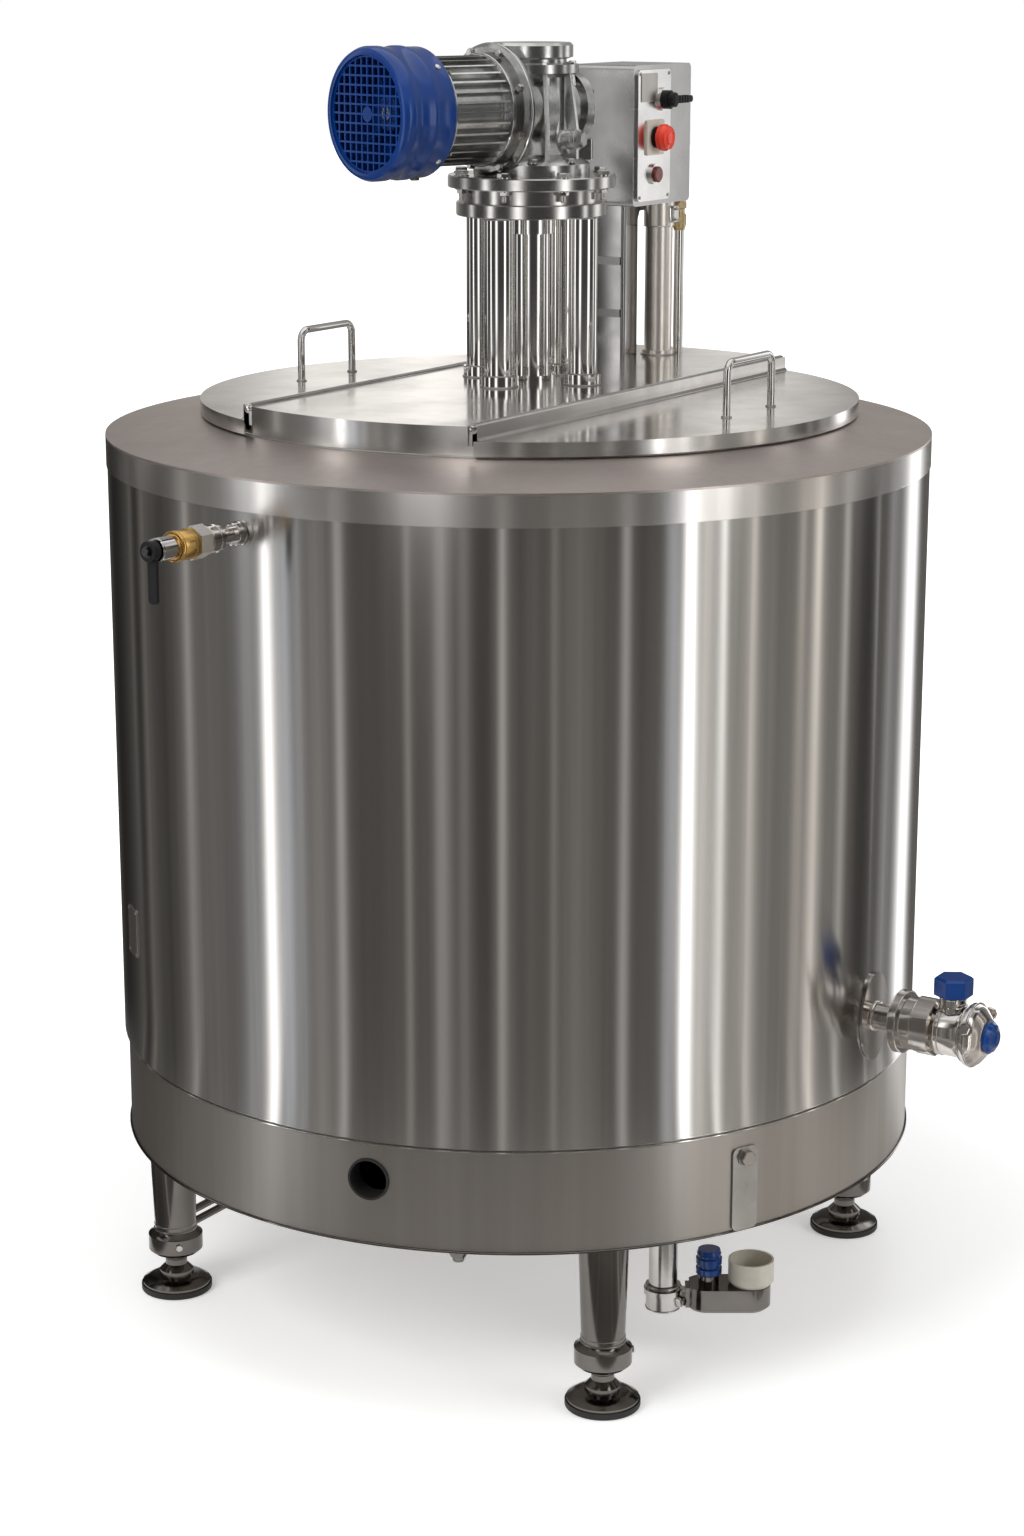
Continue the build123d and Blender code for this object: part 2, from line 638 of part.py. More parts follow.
def make_lid(side):
    """Half lid: flat sheet, skirt round its arc, and the moving hinge knuckles."""
    bottom = LID_TOP - LID_SKIRT
    keep = block(-VAT_RADIUS, VAT_RADIUS, LID_EDGE_Y, VAT_RADIUS, bottom - 1, LID_TOP + 1)
    pan = tube(LID_RADIUS, LID_RADIUS - LID_SHEET, bottom, LID_TOP, MOUTH_OFFSET)
    pan = pan + disc(LID_RADIUS, LID_TOP - LID_SHEET, LID_TOP, MOUTH_OFFSET)
    lid = pan & keep
    for moving, x0, x1 in knuckle_spans():
        if moving:
            leaf = block(x0, x1, LID_EDGE_Y, LID_EDGE_Y + HINGE_LEAF, LID_TOP - LID_SHEET, HINGE_Z)
            lid = lid + leaf + along_x(HINGE_RADIUS, x0, x1, HINGE_Y, HINGE_Z)
    lid = lid - along_x(HINGE_PIN_RADIUS + PIN_GAP, -VAT_RADIUS, VAT_RADIUS, HINGE_Y, HINGE_Z)
    return mirror_side(lid, side)


def make_lid_handle(side):
    """Bent rod handle standing on a half lid."""
    half = HANDLE_LENGTH / 2
    x0 = MOUTH_OFFSET - half
    x1 = MOUTH_OFFSET + half
    y = HANDLE_REACH
    top = LID_TOP + HANDLE_HEIGHT
    path = FilletPolyline((x0, y, LID_TOP), (x0, y, top), (x1, y, top), (x1, y, LID_TOP), radius=HANDLE_BEND)
    rod = sweep(Plane(origin=(x0, y, LID_TOP), z_dir=(0, 0, 1)) * Circle(HANDLE_ROD / 2), path=path)
    return mirror_side(rod, side)


# Drive tower

def post_places():
    for index in range(4):
        x, y = polar(POST_OFFSET, index * 90)
        yield TOWER_X + x, y


def make_tower_posts():
    """Four tubes from the bridge to the drive's lower flange, each in its shoe."""
    posts = []
    for x, y in post_places():
        bore = POST_RADIUS - POST_WALL
        post = tube(POST_RADIUS, bore, BRIDGE_TOP, TOWER_TOP, x, y)
        shoe = tube(POST_SHOE_RADIUS, bore, BRIDGE_TOP, BRIDGE_TOP + POST_SHOE_HEIGHT, x, y)
        posts.append(post + shoe)
    return posts


def make_shaft_housing():
    """Bearing tube round the agitator shaft, with its foot ring."""
    bearing = SHAFT_RADIUS + PIN_GAP
    foot_top = BRIDGE_TOP + HOUSING_FOOT
    head_low = TOWER_TOP - HOUSING_HEAD
    body = tube(HOUSING_RADIUS, HOUSING_RADIUS - HOUSING_WALL, foot_top, head_low)
    foot = tube(HOUSING_RADIUS + 9, bearing, BRIDGE_TOP, foot_top)
    head = tube(HOUSING_RADIUS + 6, bearing, head_low, TOWER_TOP)
    return at_tower(body + foot + head)


def make_drive_flange():
    """Lower flange and the spacer drum on it."""
    bore = HOUSING_RADIUS - HOUSING_WALL
    flange = tube(LOWER_FLANGE_RADIUS, bore, TOWER_TOP, DRUM_BOTTOM)
    flange = chamfer(flange.edges().filter_by(GeomType.CIRCLE).group_by(SortBy.RADIUS)[-1], 1.5)
    return at_tower(flange + tube(DRUM_RADIUS, bore, DRUM_BOTTOM, PLATE_BOTTOM))


def make_drive_plate():
    """Round plate under the gear unit."""
    plate = tube(UPPER_PLATE_RADIUS, HOUSING_RADIUS - HOUSING_WALL, PLATE_BOTTOM, GEAR_BOTTOM)
    return at_tower(chamfer(plate.edges().filter_by(GeomType.CIRCLE).group_by(SortBy.RADIUS)[-1], 1.5))


def make_gear_housing():
    """Cast bevel gear unit: foot, ribbed barrel, joint flange and top cover."""
    flange_z = MOTOR_AXIS_HEIGHT + THROAT_RADIUS - GEAR_FLANGE_HEIGHT
    cap_z = GEAR_HEIGHT - GEAR_CAP_HEIGHT
    barrel = turned([
        (0, 0),
        (GEAR_BASE_RADIUS, 0),
        (GEAR_BASE_RADIUS, GEAR_BASE_HEIGHT - 6),
        (GEAR_BASE_RADIUS - 8, GEAR_BASE_HEIGHT),
        (GEAR_RADIUS + 6, GEAR_BASE_HEIGHT + 8),
        (GEAR_RADIUS, GEAR_BASE_HEIGHT + 26),
        (GEAR_RADIUS, flange_z - 6),
        (GEAR_FLANGE_RADIUS, flange_z),
        (GEAR_FLANGE_RADIUS, flange_z + GEAR_FLANGE_HEIGHT),
        (GEAR_RADIUS - 4, flange_z + GEAR_FLANGE_HEIGHT + 2),
        (GEAR_RADIUS - 4, cap_z - 3),
        (GEAR_CAP_RADIUS, cap_z),
        (GEAR_CAP_RADIUS, GEAR_HEIGHT - 4),
        (GEAR_CAP_RADIUS - 4, GEAR_HEIGHT),
        (0, GEAR_HEIGHT),
    ])
    rib = block(GEAR_RADIUS - 4, GEAR_BASE_RADIUS - 10, -GEAR_RIB_THICKNESS / 2, GEAR_RIB_THICKNESS / 2,
                GEAR_BASE_HEIGHT - 4, flange_z + 2)
    rib = rib & turned([
        (0, 0),
        (GEAR_BASE_RADIUS, 0),
        (GEAR_RADIUS + 9, flange_z),
        (0, flange_z + 3),
    ])
    for index in range(GEAR_RIB_COUNT):
        barrel = barrel + Rot(0, 0, MOTOR_HEADING + (index + 0.5) * 360 / GEAR_RIB_COUNT) * rib
    plug = Rot(0, 0, MOTOR_HEADING + GEAR_PLUG_TURN) * Pos(0, 0, GEAR_PLUG_HEIGHT) * Rot(0, 90, 0) * Cylinder(
        GEAR_PLUG_RADIUS, GEAR_PLUG_REACH, align=BASE)
    back = Rot(0, 0, MOTOR_HEADING + 180) * Pos(0, 0, MOTOR_AXIS_HEIGHT) * Rot(0, 90, 0) * turned([
        (0, 0), (GEAR_BACK_RADIUS - 8, 0), (GEAR_BACK_RADIUS - 8, GEAR_BACK_REACH - 14),
        (GEAR_BACK_RADIUS, GEAR_BACK_REACH - 14), (GEAR_BACK_RADIUS, GEAR_BACK_REACH),
        (GEAR_BACK_RADIUS - 16, GEAR_BACK_REACH), (GEAR_BACK_RADIUS - 20, GEAR_BACK_REACH + 9),
        (0, GEAR_BACK_REACH + 9),
    ])
    half = GEAR_LUG_WIDTH / 2
    lug = block(0, GEAR_LUG_REACH, -half, half, GEAR_BASE_HEIGHT - 1, GEAR_PLUG_HEIGHT)
    lug = Rot(0, 0, MOTOR_HEADING + GEAR_LUG_TURN) * fillet(lug.edges().filter_by(Axis.Z), 5)
    housing = at_tower(Pos(0, 0, GEAR_BOTTOM) * (barrel + plug + back + lug))
    throat = at_motor(Cylinder(THROAT_RADIUS, ADAPTER_START, align=BASE))
    return housing + throat - at_motor(disc(ADAPTER_RADIUS + SEAT_GAP, ADAPTER_START, ADAPTER_END))


def make_motor_adapter():
    """Round bearing bracket between the gear unit and the motor."""
    return at_motor(turned([
        (0, ADAPTER_START),
        (ADAPTER_RADIUS - 12, ADAPTER_START),
        (ADAPTER_RADIUS, ADAPTER_START + 5),
        (ADAPTER_RADIUS, ADAPTER_END - 5),
        (ADAPTER_RADIUS - 5, ADAPTER_END),
        (0, ADAPTER_END),
    ]))


def make_motor():
    """Finned motor frame with its end shields, rear shaft and terminal box."""
    length = MOTOR_END - ADAPTER_END
    frame = turned([
        (0, ADAPTER_END),
        (MOTOR_END_RADIUS, ADAPTER_END),
        (MOTOR_END_RADIUS, ADAPTER_END + 12),
        (MOTOR_RADIUS, ADAPTER_END + 16),
        (MOTOR_RADIUS, MOTOR_END - 14),
        (MOTOR_END_RADIUS, MOTOR_END - 10),
        (MOTOR_END_RADIUS, MOTOR_END),
        (FAN_SHAFT_RADIUS, MOTOR_END),
        (FAN_SHAFT_RADIUS, FAN_START + FAN_WIDTH + 4),
        (0, FAN_START + FAN_WIDTH + 4),
    ])
    fin = block(MOTOR_RADIUS - 2, MOTOR_FIN_RADIUS, -MOTOR_FIN_THICKNESS / 2, MOTOR_FIN_THICKNESS / 2,
                ADAPTER_END + 6, MOTOR_END - 6)
    fins = [Rot(0, 0, index * 360 / MOTOR_FIN_COUNT) * fin for index in range(MOTOR_FIN_COUNT)]
    side = TERMINAL_SIZE / 2
    box_middle = ADAPTER_END + length / 2
    terminal = block(
        -side + 6, side - 6, 0, MOTOR_RADIUS + TERMINAL_RISE, box_middle - side, box_middle + side)
    terminal = fillet(terminal.edges().filter_by(Axis.Y), 8)
    terminal = terminal - disc(MOTOR_RADIUS - 4, ADAPTER_END, MOTOR_END)
    return at_motor(frame + fins + Rot(0, 0, 180) * terminal)


def make_fan_cover():
    """Blue pressed fan cover: ridged wall, lip on the motor, open mouth."""
    outer = FAN_COVER_RADIUS
    inner = outer - FAN_COVER_WALL
    mouth = FAN_COVER_END
    shelf = mouth - GRILLE_RECESS
    return at_motor(turned([
        (MOTOR_END_RADIUS - 8, MOTOR_END),
        (outer - 4, MOTOR_END),
        (outer - 1, MOTOR_END + 4),
        (outer - 1, MOTOR_END + 30),
        (outer + 1, MOTOR_END + 34),
        (outer + 1, MOTOR_END + 42),
        (outer - 1, MOTOR_END + 46),
        (outer - 1, mouth - 26),
        (outer + 1, mouth - 22),
        (outer + 1, mouth - 8),
        (outer - 2, mouth - 2),
        (outer - 7, mouth),
        (outer - 11, mouth),
        (outer - 11, shelf - 3),
        (outer - 9, shelf - 6),
        (inner - 1, shelf - 9),
        (inner - 1, MOTOR_END + 6),
        (inner - 4, MOTOR_END + FAN_COVER_WALL),
        (MOTOR_END_RADIUS - 8, MOTOR_END + FAN_COVER_WALL),
    ]))


def make_fan_grille():
    """Square wire mesh set back in the mouth of the fan cover."""
    seat = FAN_COVER_RADIUS - 11 - SEAT_GAP
    cells = int(2 * seat / GRILLE_PITCH) + 2
    opening = GRILLE_PITCH - GRILLE_WIRE
    holes = GridLocations(GRILLE_PITCH, GRILLE_PITCH, cells, cells) * Rectangle(opening, opening)
    mesh = Circle(seat) - holes
    mesh = mesh + (Circle(seat) - Circle(seat - GRILLE_WIRE)) + Circle(GRILLE_PITCH * 0.8)
    sheet = extrude(mesh, GRILLE_WIRE)
    return at_motor(Pos(0, 0, FAN_COVER_END - GRILLE_RECESS - GRILLE_WIRE) * sheet)


def make_fan():
    """Radial fan wheel on the motor's rear shaft."""
    hub = disc(FAN_HUB_RADIUS, 0, FAN_WIDTH)
    wheel = hub + disc(FAN_RADIUS, 0, FAN_BLADE_THICKNESS)
    half = FAN_BLADE_THICKNESS / 2
    blade = block(FAN_HUB_RADIUS - 3, FAN_RADIUS, -half, half, 1, FAN_WIDTH - 4)
    for index in range(FAN_BLADES):
        wheel = wheel + Rot(0, 0, index * 360 / FAN_BLADES) * blade
    wheel = wheel - disc(FAN_SHAFT_RADIUS + PIN_GAP, -1, FAN_WIDTH + 1)
    return at_motor(Pos(0, 0, FAN_START) * wheel)


def make_agitator():
    """Shaft through the bridge with two sets of pitched paddles in the vessel."""
    low = VESSEL_FLOOR_Z + AGITATOR_CLEARANCE
    top = GEAR_BOTTOM - SWING_GAP
    body = disc(SHAFT_RADIUS, low, top)
    for index in range(2):
        middle = low + PADDLE_WIDTH / 2 + index * PADDLE_SPACING
        pitched = Box(
            PADDLE_SPAN / 2, PADDLE_THICKNESS, PADDLE_WIDTH, align=(Align.MIN, Align.CENTER, Align.CENTER))
        body = body + disc(PADDLE_HUB_RADIUS, middle - PADDLE_WIDTH / 2, middle + PADDLE_WIDTH / 2)
        for turn in (0, 180):
            body = body + Pos(0, 0, middle) * Rot(0, 0, turn + index * 90) * Rot(PADDLE_PITCH, 0, 0) * pitched
    return at_tower(body)


# Control box

def make_column():
    """Round post with its base ring and the clamp under the control box."""
    inner = COLUMN_RADIUS - COLUMN_WALL
    body = tube(COLUMN_RADIUS, inner, BRIDGE_TOP, BOX_BOTTOM)
    shoe = tube(COLUMN_SHOE_RADIUS, inner, BRIDGE_TOP, BRIDGE_TOP + COLUMN_SHOE_HEIGHT)
    clamp = tube(COLUMN_CLAMP_RADIUS, inner, BOX_BOTTOM - COLUMN_CLAMP_HEIGHT, BOX_BOTTOM)
    return Pos(COLUMN_X, 0, 0) * (body + shoe + clamp)


def make_control_box():
    """Sheet steel box, closed on the outlet side by its lid."""
    case = block(BOX_LEFT, BOX_RIGHT, -BOX_FRONT, BOX_WIDTH - BOX_FRONT, BOX_BOTTOM, BOX_TOP)
    return fillet(case.edges().filter_by(Axis.Y), BOX_EDGE)


def make_box_lid():
    """Front plate of the control box, with the collars of its push buttons."""
    half = BOX_LID_LENGTH / 2
    plate = block(PANEL_X - half, PANEL_X + half, BOX_FACE_Y, -BOX_FRONT,
                  BOX_BOTTOM + BOX_LID_MARGIN, BOX_TOP - BOX_LID_MARGIN)
    plate = fillet(plate.edges().filter_by(Axis.Y), BOX_EDGE)
    pilot_place = (PILOT_RADIUS, PILOT_DROP, 0)
    selector_place = (SELECTOR_RADIUS, SELECTOR_DROP, SELECTOR_SHIFT)
    for radius, drop, shift in (pilot_place, selector_place):
        plate = plate + facing(Cylinder(radius + BEZEL_WALL, BEZEL_HEIGHT, align=BASE), drop, shift)
        plate = plate - facing(Cylinder(radius + PIN_GAP, 4 * BEZEL_HEIGHT), drop, shift)
    return plate - facing(Cylinder(ESTOP_STEM_RADIUS + PIN_GAP, 4 * BEZEL_HEIGHT), ESTOP_DROP)


def facing(shape, drop, shift=0.0):
    """Sets a shape built along +Z on the box lid, below the box's top and off its middle."""
    return Pos(PANEL_X + shift, BOX_FACE_Y, BOX_TOP - drop) * Rot(90, 0, 0) * shape


def make_estop_plate():
    """Square yellow plate round the emergency stop."""
    half = ESTOP_PLATE / 2
    plate = fillet(Box(2 * half, 2 * half, ESTOP_PLATE_THICKNESS, align=BASE).edges().filter_by(Axis.Z), 4)
    plate = plate - Cylinder(ESTOP_STEM_RADIUS + PIN_GAP, 4 * ESTOP_PLATE_THICKNESS)
    return facing(plate, ESTOP_DROP)


def make_estop_button():
    """Red mushroom head on its stem."""
    head_low = ESTOP_PLATE_THICKNESS + ESTOP_TRAVEL + 5
    stem_low = ESTOP_TRAVEL + BUTTON_FLOAT - BOX_LID_THICKNESS
    head = turned([
        (0, stem_low),
        (ESTOP_STEM_RADIUS, stem_low),
        (ESTOP_STEM_RADIUS, head_low),
        (ESTOP_RADIUS, head_low),
        (ESTOP_RADIUS, head_low + 7),
        (ESTOP_RADIUS - 4, head_low + 13),
        (ESTOP_RADIUS - 11, head_low + 16),
        (0, head_low + 17),
    ])
    return facing(head, ESTOP_DROP)


def make_pilot_button():
    """Dark red push button in its collar."""
    button = Cylinder(PILOT_RADIUS, PILOT_HEIGHT, align=BASE)
    lift = PILOT_TRAVEL + BUTTON_FLOAT - BOX_LID_THICKNESS
    return facing(Pos(0, 0, lift) * chamfer(button.edges().group_by(Axis.Z)[-1], 1.5), PILOT_DROP)


def make_selector():
    """Rotary selector with a lever handle pointing away from the tower."""
    knob = Cylinder(SELECTOR_RADIUS, SELECTOR_HEIGHT, align=BASE)
    lever = extrude(RectangleRounded(SELECTOR_LEVER, 10, 4.5), 8)
    lever = Pos(SELECTOR_LEVER / 2 - 9, 0, SELECTOR_HEIGHT - 1) * lever
    return facing(Pos(0, 0, BUTTON_FLOAT) * (knob + lever), SELECTOR_DROP, SELECTOR_SHIFT)


def make_cable_gland():
    """Brass gland under the box, over the thin conduit."""
    r = GLAND_RADIUS
    n = GLAND_NUT_RADIUS
    low = -GLAND_LENGTH
    return Pos(GLAND_X, -GLAND_FORWARD, BOX_BOTTOM) * turned([
        (0, 0), (n, 0), (n, -12), (r, -13), (r, -20), (n, -21),
        (n, low + 8), (r, low + 1), (r, low), (0, low),
    ])


def make_conduit():
    """Thin rigid conduit from the gland to the bridge."""
    return disc(CONDUIT_RADIUS, BRIDGE_TOP, BOX_BOTTOM - GLAND_LENGTH, GLAND_X, -GLAND_FORWARD)


def make_riser():
    """Bent sheet channel that carries the box and leads the wiring up to it, open at the back."""
    x0 = RISER_END - RISER_DEPTH
    y0 = RISER_SIDE
    y1 = RISER_SIDE + RISER_WIDTH
    t = RISER_SHEET
    case = block(x0, RISER_END, y0, y1, BRIDGE_TOP, BOX_BOTTOM)
    case = fillet(case.edges().filter_by(Axis.Z).sort_by(Axis.X)[:2], 2 * t)
    case = case - block(x0 + t, RISER_END + 1, y0 + t, y1 - t, BRIDGE_TOP - 1, BOX_BOTTOM + 1)
    for level in RISER_BAND_LEVELS:
        z = BRIDGE_TOP + level
        case = case + block(x0 - t, x0 + t / 2, y0 + 2 * t, y1 - 2 * t, z, z + RISER_BAND_HEIGHT)
    foot = block(x0 + t / 2, x0 + RISER_DEPTH, y0 + t / 2, y1 - t / 2, BRIDGE_TOP, BRIDGE_TOP + t)
    arm = Plane.XZ * make_face(Polyline(
        (RISER_END - 1, BOX_BOTTOM), (COLUMN_X, BOX_BOTTOM), (COLUMN_X, BOX_BOTTOM - RISER_ARM_DEPTH),
        (RISER_END + 6, BOX_BOTTOM - RISER_ARM_DEPTH), (RISER_END - 1, BOX_BOTTOM - 2 * RISER_ARM_DEPTH),
        close=True))
    arm = Pos(0, y0 + t, 0) * extrude(arm, t)
    clamp = disc(COLUMN_CLAMP_RADIUS + SEAT_GAP, BRIDGE_TOP, BOX_BOTTOM + 1, COLUMN_X)
    return case + foot + arm - clamp


# Product outlet

def outlet_section(radius, start, end):
    return outward(Pos(0, 0, start) * Cylinder(radius, end - start, align=BASE), OUTLET_ANGLE, OUTLET_Z)


def make_outlet_pad():
    """Oval weld pad on the cladding."""
    plate = Pos(0, 0, SHELL_RADIUS - 20) * extrude(Ellipse(OUTLET_PAD_HEIGHT / 2, OUTLET_PAD_WIDTH / 2), 40)
    skin = tube(SHELL_RADIUS + SEAT_GAP + OUTLET_PAD_THICKNESS, SHELL_RADIUS + SEAT_GAP,
                OUTLET_Z - OUTLET_PAD_HEIGHT, OUTLET_Z + OUTLET_PAD_HEIGHT)
    pad = skin & outward(plate, OUTLET_ANGLE, OUTLET_Z)
    return pad - outlet_section(OUTLET_PIPE_RADIUS + SEAT_GAP, VESSEL_RADIUS, OUTLET_FERRULE_START)


def make_outlet_pipe():
    """Stub pipe from the vessel, with its welded ferrule."""
    start = VESSEL_RADIUS - VESSEL_WALL - 2
    pipe = outlet_section(OUTLET_PIPE_RADIUS, start, OUTLET_FERRULE_END)
    ferrule = outlet_section(OUTLET_FERRULE_RADIUS, OUTLET_FERRULE_START, OUTLET_FERRULE_END)
    bore = outlet_section(OUTLET_PIPE_RADIUS - OUTLET_PIPE_WALL, start - 1, OUTLET_FERRULE_END + 1)
    return pipe + ferrule - bore


def make_outlet_union():
    """Round liner and the union nut with six flats."""
    bore = outlet_section(OUTLET_PIPE_RADIUS - OUTLET_PIPE_WALL, OUTLET_FERRULE_END - 1, OUTLET_NUT_END + 1)
    liner = outlet_section(OUTLET_UNION_RADIUS, OUTLET_FERRULE_END, OUTLET_UNION_END)
    nut = Pos(0, 0, OUTLET_UNION_END) * extrude(
        RegularPolygon(OUTLET_NUT_FLATS / 2, 6, major_radius=False), OUTLET_NUT_END - OUTLET_UNION_END)
    corners = Cylinder(OUTLET_NUT_FLATS / 2 + 4, OUTLET_NUT_LENGTH, align=BASE)
    nut = nut & Pos(0, 0, OUTLET_UNION_END) * corners
    return liner + outward(nut, OUTLET_ANGLE, OUTLET_Z) - bore


def make_outlet_body():
    """Valve body with the neck that guides its stem."""
    body = outward(turned([
        (0, OUTLET_NUT_END),
        (OUTLET_BODY_RADIUS - 6, OUTLET_NUT_END),
        (OUTLET_BODY_RADIUS, OUTLET_NUT_END + 8),
        (OUTLET_BODY_RADIUS, OUTLET_BODY_END - 8),
        (OUTLET_BODY_RADIUS - 4, OUTLET_BODY_END),
        (0, OUTLET_BODY_END),
    ]), OUTLET_ANGLE, OUTLET_Z)
    x, y = polar(OUTLET_STEM_REACH, OUTLET_ANGLE)
    top = OUTLET_Z + OUTLET_NECK_TOP
    neck = disc(OUTLET_NECK_RADIUS, OUTLET_Z, top, x, y)
    bore = disc(OUTLET_STEM_RADIUS + PIN_GAP, OUTLET_Z + OUTLET_STEM_DEPTH - 2, top + 1, x, y)
    return body + neck - bore


def make_outlet_knob():
    """Blue six-sided hand knob on the valve stem."""
    x, y = polar(OUTLET_STEM_REACH, OUTLET_ANGLE)
    low = OUTLET_Z + OUTLET_NECK_TOP + 1
    stem = disc(OUTLET_STEM_RADIUS, OUTLET_Z + OUTLET_STEM_DEPTH, low + 4, x, y)
    knob = extrude(RegularPolygon(OUTLET_KNOB_FLATS / 2, 6, major_radius=False), OUTLET_KNOB_HEIGHT)
    knob = chamfer(knob.edges().group_by(Axis.Z)[-1], 3)
    return stem + Pos(x, y, low) * knob


def make_outlet_clamp():
    """Rounded end clamp of the valve."""
    r = OUTLET_CLAMP_RADIUS
    a = OUTLET_BODY_END
    b = OUTLET_CLAMP_END
    return outward(turned([
        (0, a), (r - 7, a), (r, a + 6), (r, a + 13), (r - 4, a + 20), (r - 14, b - 3), (r - 19, b), (0, b),
    ]), OUTLET_ANGLE, OUTLET_Z)


def make_outlet_cap():
    """Blue domed cap in the end of the valve."""
    r = OUTLET_CAP_RADIUS
    a = OUTLET_CLAMP_END
    n = OUTLET_CAP_LENGTH
    return outward(turned([
        (0, a), (r, a), (r, a + 0.35 * n), (0.86 * r, a + 0.7 * n), (0.5 * r, a + 0.95 * n), (0, a + n),
    ]), OUTLET_ANGLE, OUTLET_Z)


# Sampling tap

def tap_part(shape):
    return outward(shape, TAP_ANGLE, TAP_Z)


def make_tap_boss():
    """Weld boss, nipple, collar and sleeve between the cladding and the tap."""
    boss_end = SHELL_RADIUS + TAP_BOSS_LENGTH
    nipple_end = boss_end + TAP_NIPPLE_LENGTH
    collar_end = nipple_end + TAP_COLLAR_LENGTH
    return tap_part(turned([
        (0, SHELL_RADIUS + SEAT_GAP),
        (TAP_BOSS_RADIUS, SHELL_RADIUS + SEAT_GAP),
        (TAP_BOSS_RADIUS, boss_end),
        (TAP_NIPPLE_RADIUS, boss_end),
        (TAP_NIPPLE_RADIUS, nipple_end),
        (TAP_COLLAR_RADIUS, nipple_end),
        (TAP_COLLAR_RADIUS, collar_end),
        (TAP_SLEEVE_RADIUS, collar_end),
        (TAP_SLEEVE_RADIUS, TAP_NUT_START),
        (0, TAP_NUT_START),
    ]))


def make_tap_nut():
    nut = extrude(RegularPolygon(TAP_NUT_FLATS / 2, 6, major_radius=False), TAP_NUT_LENGTH)
    return tap_part(Pos(0, 0, TAP_NUT_START) * nut)


def make_tap_body():
    """Brass barrel of the tap."""
    r = TAP_BODY_RADIUS
    a = TAP_NUT_END
    b = TAP_BODY_END
    return tap_part(turned([(0, a), (r - 3, a), (r, a + 4), (r, b - 6), (r - 3, b), (0, b)]))


def make_tap_nose():
    """Steel nose with the seat of the lever's plug."""
    nose = Pos(0, 0, TAP_BODY_END) * Cylinder(TAP_NOSE_RADIUS, TAP_NOSE_END - TAP_BODY_END, align=BASE)
    bore = Pos(0, 0, TAP_NOSE_END - TAP_PLUG_LENGTH) * Cylinder(TAP_PLUG_RADIUS + PIN_GAP, 40, align=BASE)
    return tap_part(nose - bore)


def make_tap_lever():
    """Black lever that hangs down from the plug at the tap's end."""
    plug_start = TAP_NOSE_END - TAP_PLUG_LENGTH + 1
    face = TAP_NOSE_END + TAP_LEVER_STANDOFF
    plug = Pos(0, 0, plug_start) * Cylinder(TAP_PLUG_RADIUS, face - plug_start + 1, align=BASE)
    boss = Pos(0, 0, face) * Cylinder(TAP_NOSE_RADIUS - 2, 12, align=BASE)
    arm = Pos(TAP_LEVER_LENGTH / 2 - 2, 0, face) * extrude(
        RectangleRounded(TAP_LEVER_LENGTH + 10, TAP_LEVER_WIDTH, 6), TAP_LEVER_THICKNESS)
    return tap_part(plug + boss + arm)


# Drain valve

def at_drain(shape, reach=0.0):
    x, y = polar(DRAIN_REACH, DRAIN_ANGLE)
    return Pos(x, y, 0) * Rot(0, 0, DRAIN_HEADING) * Pos(reach, 0, 0) * shape


def make_drain_pipe():
    """Pipe down from the vessel, with the clamped cap at its end."""
    pipe = disc(DRAIN_PIPE_RADIUS, DRAIN_CAP_TOP, BASE_TOP + 8)
    cap = disc(DRAIN_CAP_RADIUS, DRAIN_CAP_BOTTOM, DRAIN_CAP_TOP - 8)
    cap = chamfer(cap.edges().group_by(Axis.Z)[0], 4)
    clamp = disc(DRAIN_CAP_RADIUS + 3, DRAIN_CAP_TOP - 8, DRAIN_CAP_TOP)
    branch_z = (DRAIN_BODY_BOTTOM + DRAIN_BODY_TOP) / 2
    branch = Pos(0, 0, branch_z) * Rot(0, 90, 0) * Cylinder(12, DRAIN_BODY_START, align=BASE)
    return at_drain(pipe + cap + clamp + branch)


def make_drain_body():
    """Cast body under the drain knob and the cup."""
    outline = Pos(DRAIN_BODY_START + DRAIN_BODY_LENGTH / 2, 0, DRAIN_BODY_BOTTOM) * SlotOverall(
        DRAIN_BODY_LENGTH, 2 * DRAIN_BODY_RADIUS)
    body = extrude(outline, DRAIN_BODY_TOP - DRAIN_BODY_BOTTOM)
    body = chamfer(body.edges().group_by(Axis.Z)[0], 5)
    wide = DRAIN_BODY_RADIUS + 1
    flat = block(0, DRAIN_BODY_START + 6, -wide, wide, DRAIN_BODY_BOTTOM - 1, DRAIN_BODY_TOP + 1)
    neck_top = DRAIN_BODY_TOP + DRAIN_NECK_HEIGHT
    neck = disc(DRAIN_STEM_RADIUS + 8, DRAIN_BODY_TOP - 1, neck_top, DRAIN_KNOB_REACH)
    bore = disc(DRAIN_STEM_RADIUS + PIN_GAP, DRAIN_BODY_TOP - 12, neck_top + 1, DRAIN_KNOB_REACH)
    link = block(
        DRAIN_BODY_START, DRAIN_BODY_START + 30, -14, 14, DRAIN_BODY_BOTTOM + 3, DRAIN_BODY_TOP - 3)
    return at_drain(body - flat + link + neck - bore)


def make_drain_knob():
    """Blue grooved hand knob of the drain valve."""
    low = DRAIN_BODY_TOP + DRAIN_NECK_HEIGHT + 1
    r = DRAIN_KNOB_RADIUS
    knob = turned([
        (0, low), (r - 2, low), (r, low + 2), (r, low + 10), (r - 3, low + 12), (r - 3, low + 15),
        (r, low + 17), (r, low + 25), (r - 3, low + 27), (r - 3, low + 30), (r - 1, low + 32),
        (r - 3, low + DRAIN_KNOB_HEIGHT), (0, low + DRAIN_KNOB_HEIGHT),
    ])
    stem = disc(DRAIN_STEM_RADIUS, DRAIN_BODY_TOP - 10, low + 2)
    return at_drain(knob + stem, DRAIN_KNOB_REACH)


